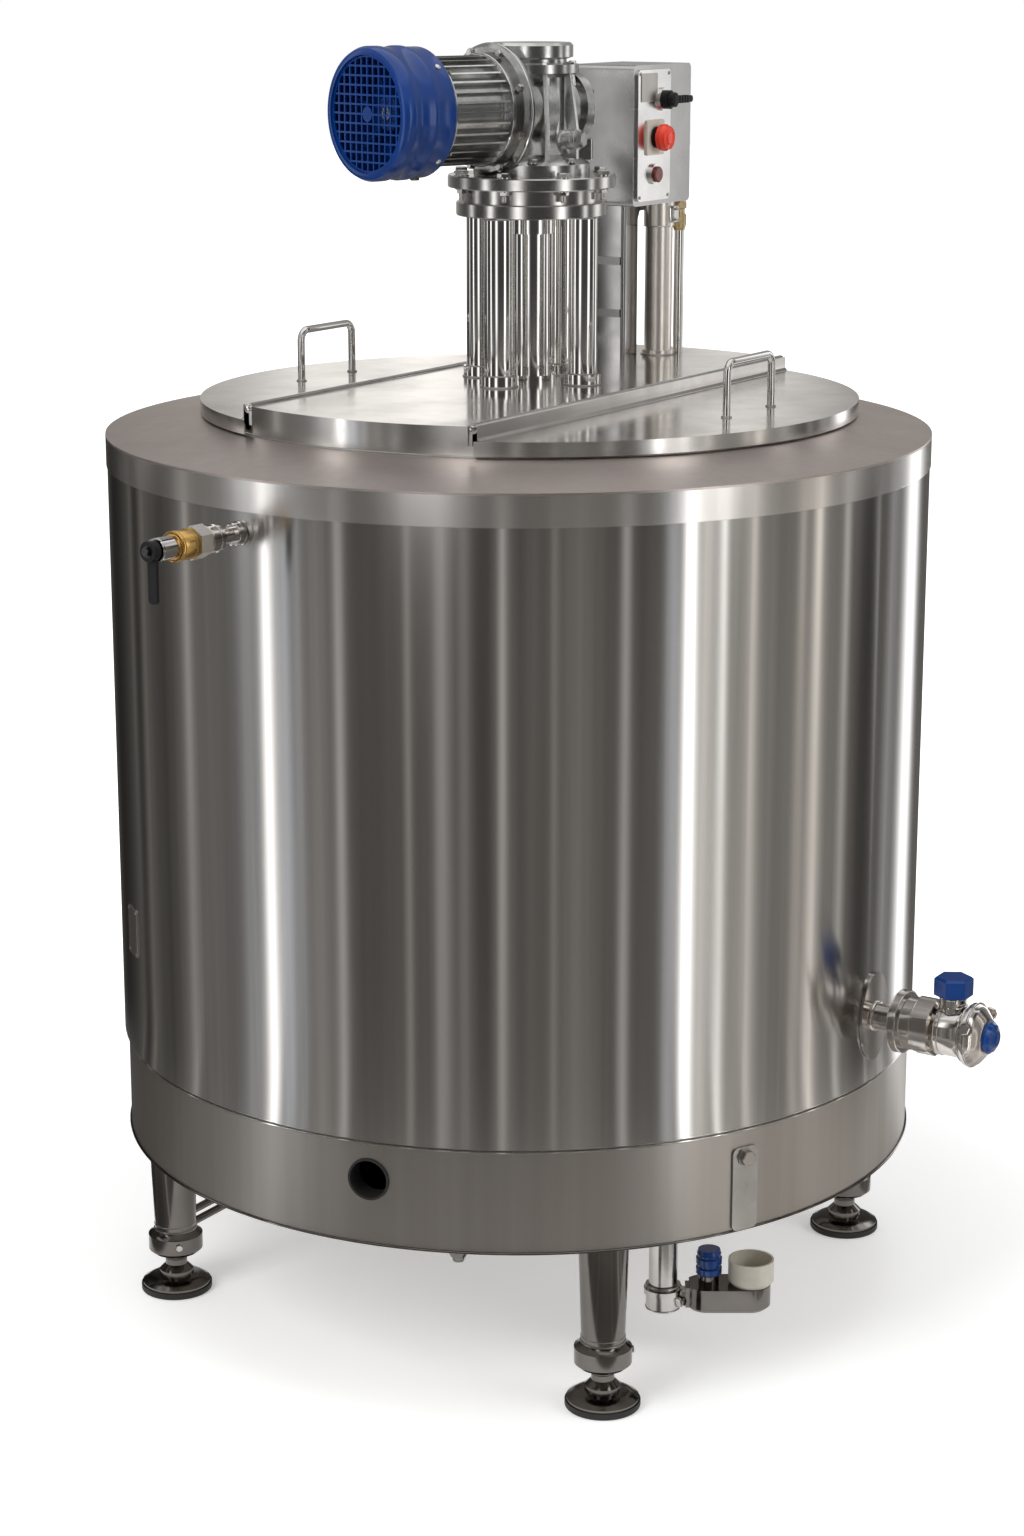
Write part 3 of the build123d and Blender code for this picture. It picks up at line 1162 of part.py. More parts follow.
def make_drain_cup():
    """Pale open cup standing on the drain body."""
    r = DRAIN_CUP_RADIUS
    low = DRAIN_BODY_TOP
    high = low + DRAIN_CUP_HEIGHT
    wall = DRAIN_CUP_WALL
    cup = turned([
        (0, low), (r - 5, low), (r, low + 6), (r, high), (r - wall, high), (r - wall, low + 8),
        (r - wall - 5, low + wall), (0, low + wall),
    ])
    return at_drain(cup, DRAIN_CUP_REACH)


NODES = {
    "shell": make_shell,
    "rim_collar": make_rim_collar,
    "deck": make_deck,
    "neck_ring": make_neck,
    "inner_vessel": make_inner_vessel,
    "skirt": make_skirt,
    "base_plate": make_base_plate,
    "legs": make_legs,
    "feet": make_feet,
    "foot_pads": make_foot_pads,
    "leg_ties": make_leg_ties,
    "skirt_port": make_skirt_port,
    "drip_nozzle": make_nozzle,
    "skirt_bracket": make_bracket,
    "bridge": make_bridge,
    "hinge_pins": make_hinge_pins,
    "lid_left": lambda: make_lid(1),
    "lid_right": lambda: make_lid(-1),
    "lid_handle_left": lambda: make_lid_handle(1),
    "lid_handle_right": lambda: make_lid_handle(-1),
    "tower_posts": make_tower_posts,
    "shaft_housing": make_shaft_housing,
    "drive_flange": make_drive_flange,
    "drive_plate": make_drive_plate,
    "gear_housing": make_gear_housing,
    "motor_adapter": make_motor_adapter,
    "motor": make_motor,
    "fan_cover": make_fan_cover,
    "fan_grille": make_fan_grille,
    "fan": make_fan,
    "agitator": make_agitator,
    "control_column": make_column,
    "control_box": make_control_box,
    "box_lid": make_box_lid,
    "estop_plate": make_estop_plate,
    "estop_button": make_estop_button,
    "pilot_button": make_pilot_button,
    "selector": make_selector,
    "cable_gland": make_cable_gland,
    "conduit": make_conduit,
    "wiring_riser": make_riser,
    "outlet_pad": make_outlet_pad,
    "outlet_pipe": make_outlet_pipe,
    "outlet_union": make_outlet_union,
    "outlet_body": make_outlet_body,
    "outlet_knob": make_outlet_knob,
    "outlet_clamp": make_outlet_clamp,
    "outlet_cap": make_outlet_cap,
    "tap_boss": make_tap_boss,
    "tap_nut": make_tap_nut,
    "tap_body": make_tap_body,
    "tap_nose": make_tap_nose,
    "tap_lever": make_tap_lever,
    "drain_pipe": make_drain_pipe,
    "drain_body": make_drain_body,
    "drain_knob": make_drain_knob,
    "drain_cup": make_drain_cup,
}


def as_part(made):
    """One part for a node, also where it holds several separate solids."""
    if isinstance(made, list):
        return Compound([solid for piece in made for solid in piece.solids()])
    return made


def main():
    os.makedirs("parts", exist_ok=True)
    made = {name: as_part(make()) for name, make in NODES.items()}
    box = Compound([solid for part in made.values() for solid in part.solids()]).bounding_box()
    shift = Pos(-(box.min.X + box.max.X) / 2, -(box.min.Y + box.max.Y) / 2, -box.min.Z)
    for name, part in made.items():
        export_step(shift * part, os.path.join("parts", name + ".step"))


main()
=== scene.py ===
"""Finishes, fastenings and small fittings of a batch pasteurizer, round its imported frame."""

import json
import math
from contextlib import contextmanager

import bmesh
import bpy
from mathutils import Matrix, Vector


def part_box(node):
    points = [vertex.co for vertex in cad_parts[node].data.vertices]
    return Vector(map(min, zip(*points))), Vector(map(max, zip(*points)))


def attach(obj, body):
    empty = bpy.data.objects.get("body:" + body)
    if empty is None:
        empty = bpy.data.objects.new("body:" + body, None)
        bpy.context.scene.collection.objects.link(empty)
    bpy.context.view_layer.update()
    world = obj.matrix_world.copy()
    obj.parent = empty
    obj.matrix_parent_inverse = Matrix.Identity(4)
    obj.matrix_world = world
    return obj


bl_info = {
    "name": "Batch Pasteurizer Dressing",
    "version": (1, 0, 0),
    "blender": (4, 5, 0),
    "location": "3D View > Sidebar > Pasteurizer",
    "description": "Adds metal finishes, welds, bolts and small fittings to a batch pasteurizer",
    "category": "Object",
}

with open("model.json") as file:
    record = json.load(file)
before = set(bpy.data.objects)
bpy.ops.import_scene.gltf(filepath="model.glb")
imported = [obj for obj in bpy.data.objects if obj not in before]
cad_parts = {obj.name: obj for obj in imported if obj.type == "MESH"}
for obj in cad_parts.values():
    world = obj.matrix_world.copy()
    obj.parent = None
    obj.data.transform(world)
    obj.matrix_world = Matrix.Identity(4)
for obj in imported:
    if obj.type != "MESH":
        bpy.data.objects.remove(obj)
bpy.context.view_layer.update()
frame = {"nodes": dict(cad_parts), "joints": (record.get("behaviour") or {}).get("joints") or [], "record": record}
JOINTS = {joint["name"]: joint for joint in frame["joints"]}
SLOTS = {part["node"]: part["material_slot"] for part in frame["record"]["subparts"]}
ROOT = "vat"
MM = 0.001
UP = Vector((0, 0, 1))
FRONT = Vector((0, -1, 0))
ORIGIN = Vector((0, 0, 0))


# Places read from the frame, in metres

def middle(name):
    low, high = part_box(name)
    return (low + high) / 2


def size_of(name):
    low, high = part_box(name)
    return high - low


def pivot_of(joint):
    return Vector(JOINTS[joint]["pos_m"])


def axis_of(joint):
    return Vector(JOINTS[joint]["axis"])


AXIS = middle("shell")
FLOOR_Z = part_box("foot_pads")[0].z
SHELL_RADIUS = size_of("shell").x / 2
SEAM_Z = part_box("shell")[0].z
COLLAR_RADIUS = size_of("rim_collar").x / 2
COLLAR_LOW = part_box("rim_collar")[0].z
RIM_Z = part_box("rim_collar")[1].z
SKIRT_RADIUS = size_of("skirt").x / 2
SKIRT_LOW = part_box("skirt")[0].z
MOUTH = middle("neck_ring")
NECK_RADIUS = size_of("neck_ring").x / 2
DECK_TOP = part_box("deck")[1].z
BRIDGE_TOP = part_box("tower_posts")[0].z
TOWER = middle("drive_plate")
TOWER_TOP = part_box("drive_flange")[0].z
GEAR_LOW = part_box("gear_housing")[0].z
MOTOR_Z = pivot_of("fan_spin").z
MOTOR_WAY = axis_of("fan_spin")
TERMINAL_WAY = Vector((MOTOR_WAY.y, -MOTOR_WAY.x, 0))
TAP_POINT = pivot_of("tap_lever_turn")
TAP_WAY = axis_of("tap_lever_turn")
COLUMN = middle("control_column")
BOX_LOW, BOX_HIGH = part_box("control_box")
PLATE_LOW, PLATE_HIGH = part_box("box_lid")
OUTLET = middle("outlet_clamp")
FOOT_RADIUS = 53.5 * MM
FIRST_LEG = 45
LEG_STEP = 90


def out_from(centre, degrees, radius, z):
    """Point at an angle and radius round an upright axis."""
    turn = math.radians(degrees)
    return Vector((centre.x + radius * math.cos(turn), centre.y + radius * math.sin(turn), z))


def on_axis(centre, z):
    """Point at a height on an upright axis."""
    return Vector((centre.x, centre.y, z))


def way_at(degrees):
    """Level direction at an angle."""
    return out_from(ORIGIN, degrees, 1, 0)


def shift(x, y, z):
    return Matrix.Translation((x, y, z))


def looking(point, way, up=UP):
    """Matrix that stands a shape built along +Z at a point, facing a way."""
    z = Vector(way).normalized()
    x = up.cross(z)
    x = x.normalized() if x.length > 1e-4 else Vector((1, 0, 0))
    y = z.cross(x)
    turn = Matrix((x, y, z)).transposed().to_4x4()
    return Matrix.Translation(point) @ turn


def along_motor(reach):
    """Point on the motor's axis, so many metres out from the tower's axis."""
    return on_axis(TOWER, MOTOR_Z) + MOTOR_WAY * reach


def along_tap(reach):
    """Point on the tap's axis, so many metres out from the vat's axis."""
    return on_axis(AXIS, TAP_POINT.z) + TAP_WAY * reach


def along_outlet(reach):
    """Point on the outlet's axis, so many metres out from the vat's axis."""
    return Vector((OUTLET.x, AXIS.y - reach, OUTLET.z))


def leg_places():
    """Points on the floor under the four legs."""
    reach = (size_of("foot_pads").x / 2 - FOOT_RADIUS) * math.sqrt(2)
    return [out_from(AXIS, FIRST_LEG + LEG_STEP * index, reach, FLOOR_Z) for index in range(4)]


# Settings that a user would change

COLOUR = {"subtype": "COLOR", "size": 3, "min": 0, "max": 1}
SHARE = {"subtype": "FACTOR", "min": 0, "max": 1}
POWER = {"unit": "POWER", "min": 0, "max": 2000}


class VatFinish(bpy.types.PropertyGroup):
    sheet_colour: bpy.props.FloatVectorProperty(
        name="Cladding colour", description="Colour of the brushed cladding sheet",
        default=(0.62, 0.605, 0.59), **COLOUR)
    collar_colour: bpy.props.FloatVectorProperty(
        name="Collar colour", description="Colour of the rim collar",
        default=(0.82, 0.797, 0.778), **COLOUR)
    satin_colour: bpy.props.FloatVectorProperty(
        name="Skirt colour", description="Colour of the satin skirt and base",
        default=(0.50, 0.47, 0.44), **COLOUR)
    deck_colour: bpy.props.FloatVectorProperty(
        name="Deck colour", description="Colour of the satin deck",
        default=(0.70, 0.625, 0.59), **COLOUR)
    polish_colour: bpy.props.FloatVectorProperty(
        name="Lid colour", description="Colour of the polished lids and bridge",
        default=(0.74, 0.715, 0.69), **COLOUR)
    # Depth of the cladding's upright streaks, which are partly its own streaking and partly painted reflection
    # bands
    streaks: bpy.props.FloatProperty(
        name="Streaks", description="Depth of the upright streaks in the cladding",
        default=0.35, **SHARE)
    bead_radius: bpy.props.FloatProperty(
        name="Bead radius", description="Radius of the rolled edges and weld beads",
        default=0.0016, unit="LENGTH", min=0.0005, max=0.006)


class DriveFinish(bpy.types.PropertyGroup):
    paint_colour: bpy.props.FloatVectorProperty(
        name="Paint colour", description="Colour of the painted fan cover",
        default=(0.001, 0.030, 0.165), **COLOUR)
    cast_colour: bpy.props.FloatVectorProperty(
        name="Casting colour", description="Colour of the bare castings",
        default=(0.68, 0.68, 0.67), **COLOUR)
    bolt_size: bpy.props.FloatProperty(
        name="Bolt size", description="Thread diameter of the flange bolts",
        default=0.010, unit="LENGTH", min=0.004, max=0.02)
    plate_bolts: bpy.props.IntProperty(
        name="Plate bolts", description="Number of bolts round the drive plate",
        default=8, min=3, max=24)


class StageLook(bpy.types.PropertyGroup):
    floor_radius: bpy.props.FloatProperty(
        name="Floor radius", description="Radius of the pale floor",
        default=30, unit="LENGTH", min=5, max=60)
    floor_glow: bpy.props.FloatProperty(
        name="Floor glow", description="Share of white that the floor keeps beside the vat",
        default=0.34, **SHARE)
    key_power: bpy.props.FloatProperty(
        name="Key power", description="Power of the main soft lamp", default=110, **POWER)
    fill_power: bpy.props.FloatProperty(
        name="Fill power", description="Power of the soft lamp in front", default=55, **POWER)
    top_power: bpy.props.FloatProperty(
        name="Top power", description="Power of the soft lamp overhead", default=70, **POWER)


# Shader nodes and shared effects

def node(tree, kind, inputs=None, **settings):
    """Adds a node; each of its inputs is set to a value, or linked to an output."""
    made = tree.nodes.new(kind)
    for key, value in settings.items():
        setattr(made, key, value)
    for label, value in (inputs or {}).items():
        if isinstance(value, bpy.types.NodeSocket):
            tree.links.new(value, made.inputs[label])
        else:
            made.inputs[label].default_value = value
    return made


def maths(tree, operation, first, second):
    return node(tree, "ShaderNodeMath", {0: first, 1: second}, operation=operation).outputs[0]


def spread(tree, mask, low, high, from_low=0.0, from_high=1.0, **settings):
    """Takes a mask's range to another range."""
    return node(tree, "ShaderNodeMapRange", {
        "Value": mask, "From Min": from_low, "From Max": from_high,
        "To Min": low, "To Max": high}, **settings).outputs[0]


def stretched_noise(tree, stretch, scale, detail, roughness=0.5):
    """Noise over the surface, with its grain squeezed by a factor per axis."""
    place = node(tree, "ShaderNodeTexCoord").outputs["Object"]
    mapping = node(tree, "ShaderNodeMapping", {"Vector": place, "Scale": stretch})
    return node(tree, "ShaderNodeTexNoise", {
        "Vector": mapping.outputs[0], "Scale": scale, "Detail": detail,
        "Roughness": roughness}).outputs["Fac"]


def new_group(name, inputs, outputs):
    """Node group with float sockets: inputs with their defaults, and outputs."""
    tree = bpy.data.node_groups.new(name, "ShaderNodeTree")
    for label, value in inputs.items():
        socket = tree.interface.new_socket(label, in_out="INPUT", socket_type="NodeSocketFloat")
        socket.default_value = value
    for label in outputs:
        tree.interface.new_socket(label, in_out="OUTPUT", socket_type="NodeSocketFloat")
    return tree, tree.nodes.new("NodeGroupInput").outputs


def make_streak_and_reflection_group():
    """Upright streaks, partly a rolled sheet's own and partly painted reflection bands: colour mask, fine level
    grain and broad blotches.
    """
    tree, given = new_group(
        "upright_streaks_and_reflections", {"Density": 9.0, "Fine Density": 60.0, "Grain": 4.0},
        ("Mask", "Grain", "Blotch"))
    broad = stretched_noise(tree, (1, 1, 0.02), given["Density"], 2)
    fine = stretched_noise(tree, (1, 1, 0.01), given["Fine Density"], 3)
    node(tree, "NodeGroupOutput", {
        "Mask": maths(tree, "ADD", maths(tree, "MULTIPLY", broad, 0.7),
                      maths(tree, "MULTIPLY", fine, 0.3)),
        "Grain": stretched_noise(tree, (3, 3, 260), given["Grain"], 2),
        "Blotch": stretched_noise(tree, (1, 1, 0.6), 2.3, 4)})
    return tree


def make_marks_group():
    """Faint handling marks and wipe lines on metal and plastic."""
    tree, given = new_group(
        "handling_marks", {"Scale": 6.0, "Scratch Scale": 40.0}, ("Smudge", "Scratch"))
    smudge = stretched_noise(tree, (1, 1, 1), given["Scale"], 5, 0.6)
    node(tree, "NodeGroupOutput", {
        "Smudge": spread(tree, smudge, 0, 1, 0.35, 0.7),
        "Scratch": stretched_noise(tree, (1, 7, 3), given["Scratch Scale"], 3)})
    return tree


def make_cast_group():
    """Pebbled skin of a casting and darker patches spread at random."""
    tree, given = new_group(
        "cast_skin", {"Scale": 220.0, "Stain Scale": 14.0}, ("Height", "Stain"))
    node(tree, "NodeGroupOutput", {
        "Height": stretched_noise(tree, (1, 1, 1), given["Scale"], 3, 0.6),
        "Stain": stretched_noise(tree, (1, 1, 1), given["Stain Scale"], 4, 0.65)})
    return tree


GROUP_MAKERS = {"streaks": make_streak_and_reflection_group, "marks": make_marks_group, "cast": make_cast_group}
GROUPS = {}


def place_group(tree, name, **values):
    """Places a shared effect, built at its first use, and gives its outputs."""
    if name not in GROUPS:
        GROUPS[name] = GROUP_MAKERS[name]()
    inputs = {label.replace("_", " "): value for label, value in values.items()}
    return node(tree, "ShaderNodeGroup", inputs, node_tree=GROUPS[name]).outputs


# Materials, kept by name

WHITE = (1, 1, 1)
MATERIALS = {}


def start_material(name, metallic=1.0, **extras):
    """Makes a material, and gives its nodes and its shader's inputs."""
    MATERIALS[name] = material = bpy.data.materials.new(name)
    material.use_nodes = True
    inputs = material.node_tree.nodes["Principled BSDF"].inputs
    inputs["Metallic"].default_value = metallic
    for label, value in extras.items():
        inputs[label.replace("_", " ")].default_value = value
    return material.node_tree, inputs


def finish(tree, inputs, colour, mask, shades, tint, gloss, relief):
    """Links a mask's shades of a colour, a roughness, and a relief (height, strength, depth)."""
    low, high = shades
    mix = node(tree, "ShaderNodeMix", {
        "Factor": mask, "A": (*[c * low * t for c, t in zip(colour, tint)], 1),
        "B": (*[min(c * high, 1) for c in colour], 1)}, data_type="RGBA")
    height, strength, depth = relief
    bump = node(tree, "ShaderNodeBump", {
        "Strength": strength, "Distance": depth, "Height": height})
    tree.links.new(mix.outputs["Result"], inputs["Base Color"])
    tree.links.new(gloss, inputs["Roughness"])
    tree.links.new(bump.outputs[0], inputs["Normal"])


def sheet(name, colour, rough_low, rough_high, streaks, grain, anisotropy):
    """Brushed sheet: streaked colour, partly painted reflection bands, streaked gloss and a fine level grain."""
    tree, inputs = start_material(name, Anisotropic=anisotropy, Anisotropic_Rotation=0.25)
    effect = place_group(tree, "streaks")
    mask = spread(tree, effect["Mask"], 0, 1, 0.32, 0.68)
    uneven = maths(tree, "ADD", maths(tree, "MULTIPLY", effect["Mask"], 0.5),
                   maths(tree, "MULTIPLY", effect["Blotch"], 0.5))
    gloss = spread(tree, uneven, rough_high, rough_low, 0.35, 0.65)
    finish(tree, inputs, colour, mask, (1 - streaks, 1 + streaks * 0.45), (1, 0.985, 0.965),
           gloss, (effect["Grain"], grain, 0.0004))


def casting(name, colour, roughness=0.2):
    """Bare casting with a pebbled skin and darker patches at random."""
    tree, inputs = start_material(name)
    effect = place_group(tree, "cast")
    mask = spread(tree, effect["Stain"], 0, 1, 0.3, 0.7)
    gloss = spread(tree, effect["Stain"], roughness + 0.1, roughness - 0.08)
    finish(tree, inputs, colour, mask, (0.55, 1.15), (1, 0.99, 0.97), gloss,
           (effect["Height"], 0.16, 0.0004))


def marked(name, colour, rough_low, rough_high, scale, scratch_scale, shades, scratch, depth,
           tint=WHITE, **extras):
    """Smooth surface with smudges in its colour and gloss, and faint scratches."""
    tree, inputs = start_material(name, **extras)
    effect = place_group(tree, "marks", Scale=scale, Scratch_Scale=scratch_scale)
    gloss = spread(tree, effect["Smudge"], rough_low, rough_high)
    finish(tree, inputs, colour, effect["Smudge"], shades, tint, gloss,
           (effect["Scratch"], scratch, depth))


def steel(name, colour, roughness, smudge=0.08, scratch=0.04, dark=0.86, light=1.05):
    """Machined or polished steel."""
    marked(name, colour, roughness, roughness + smudge, 9, 60, (light, dark), scratch, 0.0002)


def brass(name, colour):
    """Brass with dull patches."""
    marked(name, colour, 0.2, 0.42, 30, 120, (1.15, 0.72), 0.08, 0.0002, (1, 0.93, 0.75))


def coated(name, colour, roughness, coat=0.0, smudge=0.06, scratch=0.06, shine=0.4):
    """Paint, plastic or rubber."""
    marked(name, colour, roughness, roughness + smudge, 18, 90, (1.12, 0.86), scratch, 0.0003,
           metallic=0, Coat_Weight=coat, Coat_Roughness=0.12, Specular_IOR_Level=shine)


def build_materials():
    """Makes every finish, from the settings and from the colours of the small parts."""
    vat = bpy.context.scene.vat_finish
    cast = bpy.context.scene.drive_finish.cast_colour
    paint = bpy.context.scene.drive_finish.paint_colour
    # The sheets' streaked colour is partly painted reflection bands, deepest on the cladding
    sheet("brushed_sheet", vat.sheet_colour, 0.12, 0.2, vat.streaks, 0.015, 0.95)
    sheet("collar_sheet", vat.collar_colour, 0.22, 0.28, 0.12, 0.03, 0.7)
    sheet("satin_sheet", vat.satin_colour, 0.34, 0.44, 0.12, 0.03, 0.3)
    sheet("deck_sheet", vat.deck_colour, 0.34, 0.44, 0.1, 0.03, 0.3)
    steel("polished_sheet", vat.polish_colour, 0.12, 0.1)
    steel("polished_tube", (0.74, 0.725, 0.70), 0.06, 0.04, 0.0)
    steel("column_tube", (0.95, 0.89, 0.82), 0.32, 0.06, 0.0)
    steel("edge_strip", (0.50, 0.475, 0.45), 0.2, 0.06, 0.0)
    steel("riser_steel", (0.36, 0.355, 0.35), 0.12)
    steel("valve_steel", (0.74, 0.70, 0.665), 0.1, 0.08, 0.05, 0.7)
    steel("front_plate", (0.80, 0.79, 0.775), 0.2, 0.1)
    # Very dark steel: a painted dark reflection, for the legs, feet, ties, drain body and the skirt's lower edge
    steel("leg_steel_painted_dark", (0.17, 0.157, 0.144), 0.1, 0.06, 0.0)
    steel("machined_steel", (0.58, 0.565, 0.54), 0.16, 0.12, 0.06, 0.75)
    steel("weld", (0.5, 0.48, 0.46), 0.3, 0.1, 0.3, 0.6, 1.1)
    steel("dark_steel", (0.09, 0.088, 0.085), 0.3, 0.12)
    steel("box_steel", (0.50, 0.495, 0.485), 0.24, 0.1)
    casting("cast_grey", cast)
    # The casting colour at six tenths: painted shade for the motor adapter
    casting("shaded_cast", [c * 0.6 for c in cast], 0.16)
    coated("blue_paint", paint, 0.3, 0.5, shine=0.2)
    coated("blue_plastic", (0.001, 0.036, 0.18), 0.16, 0.3)
    coated("red_plastic", (0.80, 0.045, 0.015), 0.3, 0.4)
    coated("dark_red_plastic", (0.16, 0.018, 0.012), 0.25, 0.4)
    coated("beige_plastic", (0.62, 0.585, 0.5), 0.45)
    coated("black_plastic", (0.012, 0.012, 0.013), 0.34, 0.04, shine=0.15)
    coated("black_rubber", (0.022, 0.021, 0.02), 0.55, 0.0, 0.12, 0.12)
    brass("brass", (0.62, 0.41, 0.16))
    brass("pale_brass", (0.72, 0.60, 0.40))


# Nodes of the frame with another finish than their slot's
OWN_FINISH = {
    "collar_sheet": ("rim_collar",),
    "deck_sheet": ("deck",),
    "front_plate": ("box_lid",),
    # The legs, feet, ties and drain body take the very dark steel, a painted dark reflection
    "leg_steel_painted_dark": ("legs", "feet", "leg_ties", "drain_body"),
    "machined_steel": ("skirt_bracket",),
    "black_rubber": ("skirt_port",),
    "pale_brass": ("cable_gland",),
    "column_tube": ("control_column", "tap_nut"),
    "riser_steel": ("wiring_riser",),
    # The motor adapter takes the darkened casting, which is painted shade
    "shaded_cast": ("motor_adapter",),
    "valve_steel": ("outlet_body", "outlet_clamp", "outlet_pad", "outlet_pipe", "outlet_union",
                    "tap_boss", "tap_nose"),
}


# Mesh helpers

SHARP_ANGLE = 32
SMOOTH_GROUP = "smooth_past_angle"


def make_smooth_group():
    """Geometry nodes that weld a mesh and shade it smooth, but for its sharp edges."""
    tree = bpy.data.node_groups.new(SMOOTH_GROUP, "GeometryNodeTree")
    for way in ("INPUT", "OUTPUT"):
        tree.interface.new_socket("Geometry", in_out=way, socket_type="NodeSocketGeometry")
    source = node(tree, "NodeGroupInput")
    weld = node(tree, "GeometryNodeMergeByDistance", {
        "Geometry": source.outputs[0], "Distance": 1e-6})
    faces = node(tree, "GeometryNodeSetShadeSmooth", {"Geometry": weld.outputs[0]}, domain="FACE")
    bend = node(tree, "GeometryNodeInputMeshEdgeAngle").outputs["Unsigned Angle"]
    sharp = node(tree, "FunctionNodeCompare", {"A": bend, "B": math.radians(SHARP_ANGLE)},
                 data_type="FLOAT", operation="GREATER_THAN")
    edges = node(tree, "GeometryNodeSetShadeSmooth", {
        "Geometry": faces.outputs[0], "Selection": sharp.outputs[0], "Shade Smooth": False},
        domain="EDGE")
    node(tree, "NodeGroupOutput", {0: edges.outputs[0]})
    return tree


def smooth(obj):
    modifier = obj.modifiers.new("Smooth", "NODES")
    modifier.node_group = bpy.data.node_groups.get(SMOOTH_GROUP) or make_smooth_group()


def add_object(data):
    obj = bpy.data.objects.new(data.name, data)
    bpy.context.scene.collection.objects.link(obj)
    return obj


def mesh_object(name, bm, material):
    """Turns mesh data into an object of the scene with one material."""
    mesh = bpy.data.meshes.new(name)
    bm.to_mesh(mesh)
    bm.free()
    mesh.materials.append(material)
    return add_object(mesh)


@contextmanager
def piece(name, material, body=ROOT):
    """Opens an empty mesh to build in, then adds it as a piece that rides on a body."""
    bm = bmesh.new()
    yield bm
    bmesh.ops.recalc_face_normals(bm, faces=bm.faces)
    obj = mesh_object(name, bm, MATERIALS[material])
    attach(obj, body)
    smooth(obj)


def in_mm(*points):
    """Points of a profile, given in millimetres."""
    return [(first * MM, second * MM) for first, second in points]


def turns(count, first=0.0):
    """Angles that share out a circle, in radians."""
    return [first + 2 * math.pi * index / count for index in range(count)]


def polygon(radius, sides, first=0.0):
    return [(radius * math.cos(turn), radius * math.sin(turn)) for turn in turns(sides, first)]


def ring_of(count, radius, first=0.0):
    """Places round a circle from a first angle in degrees, as (x, y, angle)."""
    return [(radius * math.cos(turn), radius * math.sin(turn), turn)
            for turn in turns(count, math.radians(first))]


def rounded(width, height, corner, steps=4):
    """Outline of a rectangle with round corners."""
    points = []
    for quarter, (sx, sy) in enumerate(((1, 1), (-1, 1), (-1, -1), (1, -1))):
        cx = sx * (width / 2 - corner)
        cy = sy * (height / 2 - corner)
        for step in range(steps + 1):
            turn = math.radians(90 * quarter + 90 * step / steps)
            points.append((cx + corner * math.cos(turn), cy + corner * math.sin(turn)))
    return points


def add_band(bm, below, above):
    """Faces between two closed rows of points, where a row may be one point."""
    steps = max(len(below), len(above))
    for index in range(steps):
        after = (index + 1) % steps
        corners = [below[index % len(below)], below[after % len(below)],
                   above[after % len(above)], above[index % len(above)]]
        unique = list(dict.fromkeys(corners))
        if len(unique) > 2:
            bm.faces.new(unique)


def add_turned(bm, profile, matrix, steps=32, closed=False):
    """Turns a profile of (radius, height) points round +Z; ends on the axis are closed."""
    rings = []
    for radius, height in profile:
        outline = polygon(radius, steps) if radius > 1e-7 else [(0, 0)]
        rings.append([bm.verts.new(matrix @ Vector((x, y, height))) for x, y in outline])
    for below, above in zip(rings, rings[1:]):
        add_band(bm, below, above)
    if closed:
        add_band(bm, rings[-1], rings[0])


def add_hoop(bm, place, radius, thickness, steps=160, sides=10):
    """Round bead lying in a circle, level at a point or square to a matrix."""
    matrix = place if isinstance(place, Matrix) else Matrix.Translation(place)
    loop = [(radius + x, y) for x, y in polygon(thickness, sides)]
    add_turned(bm, loop, matrix, steps, closed=True)


def add_bead(bm, place, radius, thickness, steps=40):
    """Small bead, measured in millimetres."""
    add_hoop(bm, place, radius * MM, thickness * MM, steps, 8)


def add_prism(bm, outline, low, high, matrix, bevel=0.0):
    """Upright prism over a closed outline, with an optional small chamfer on top."""
    levels = [(1, low), (1, high - bevel)]
    if bevel:
        reach = max(math.hypot(x, y) for x, y in outline)
        levels.append((1 - bevel / reach, high))
    rows = [[bm.verts.new(matrix @ Vector((x * share, y * share, z))) for x, y in outline]
            for share, z in levels]
    for below, above in zip(rows, rows[1:]):
        add_band(bm, below, above)
    bm.faces.new(rows[-1])
    bm.faces.new(list(reversed(rows[0])))


def add_bolt(bm, matrix, thread, washer=True, turn=0.3):
    """Hexagon head, by default on a washer, standing on the face at the matrix."""
    low = 0.0
    if washer:
        low = thread * 0.16
        rim = thread * 1.1
        add_turned(bm, [(0, 0), (rim, 0), (rim, low), (0, low)], matrix, 20)
    head = polygon(thread * 0.95, 6, turn)
    add_prism(bm, head, low, low + thread * 0.62, matrix, thread * 0.12)


def add_socket_screw(bm, matrix, thread):
    """Round head with a six-sided socket."""
    head = thread * 0.8
    top = thread * 0.9
    add_turned(bm, [(0, 0), (head, 0), (head, thread * 0.75), (head * 0.88, top),
                    (head * 0.55, top)], matrix, 20)
    foot = thread * 0.4
    add_turned(bm, [(head * 0.55, top), (head * 0.5, foot), (0, foot)], matrix, 6)


def add_pan_screw(bm, matrix, head):
    """Low round head, open at the face that it stands on."""
    add_turned(bm, [(head, 0), (head * 0.96, head * 0.3), (head * 0.6, head * 0.55),
                    (0, head * 0.62)], matrix, 16)


# Operators: one for each group of pieces

class DRESS_OT_frame(bpy.types.Operator):
    """Gives every node of the frame its finish and smooth shading"""
    bl_idname = "dress.frame"
    bl_label = "Finish the frame"

    def execute(self, context):
        build_materials()
        own = {name: finish for finish, names in OWN_FINISH.items() for name in names}
        for name, obj in frame["nodes"].items():
            obj.data.materials.clear()
            obj.data.materials.append(MATERIALS[own.get(name, SLOTS[name])])
            smooth(obj)
        return {"FINISHED"}


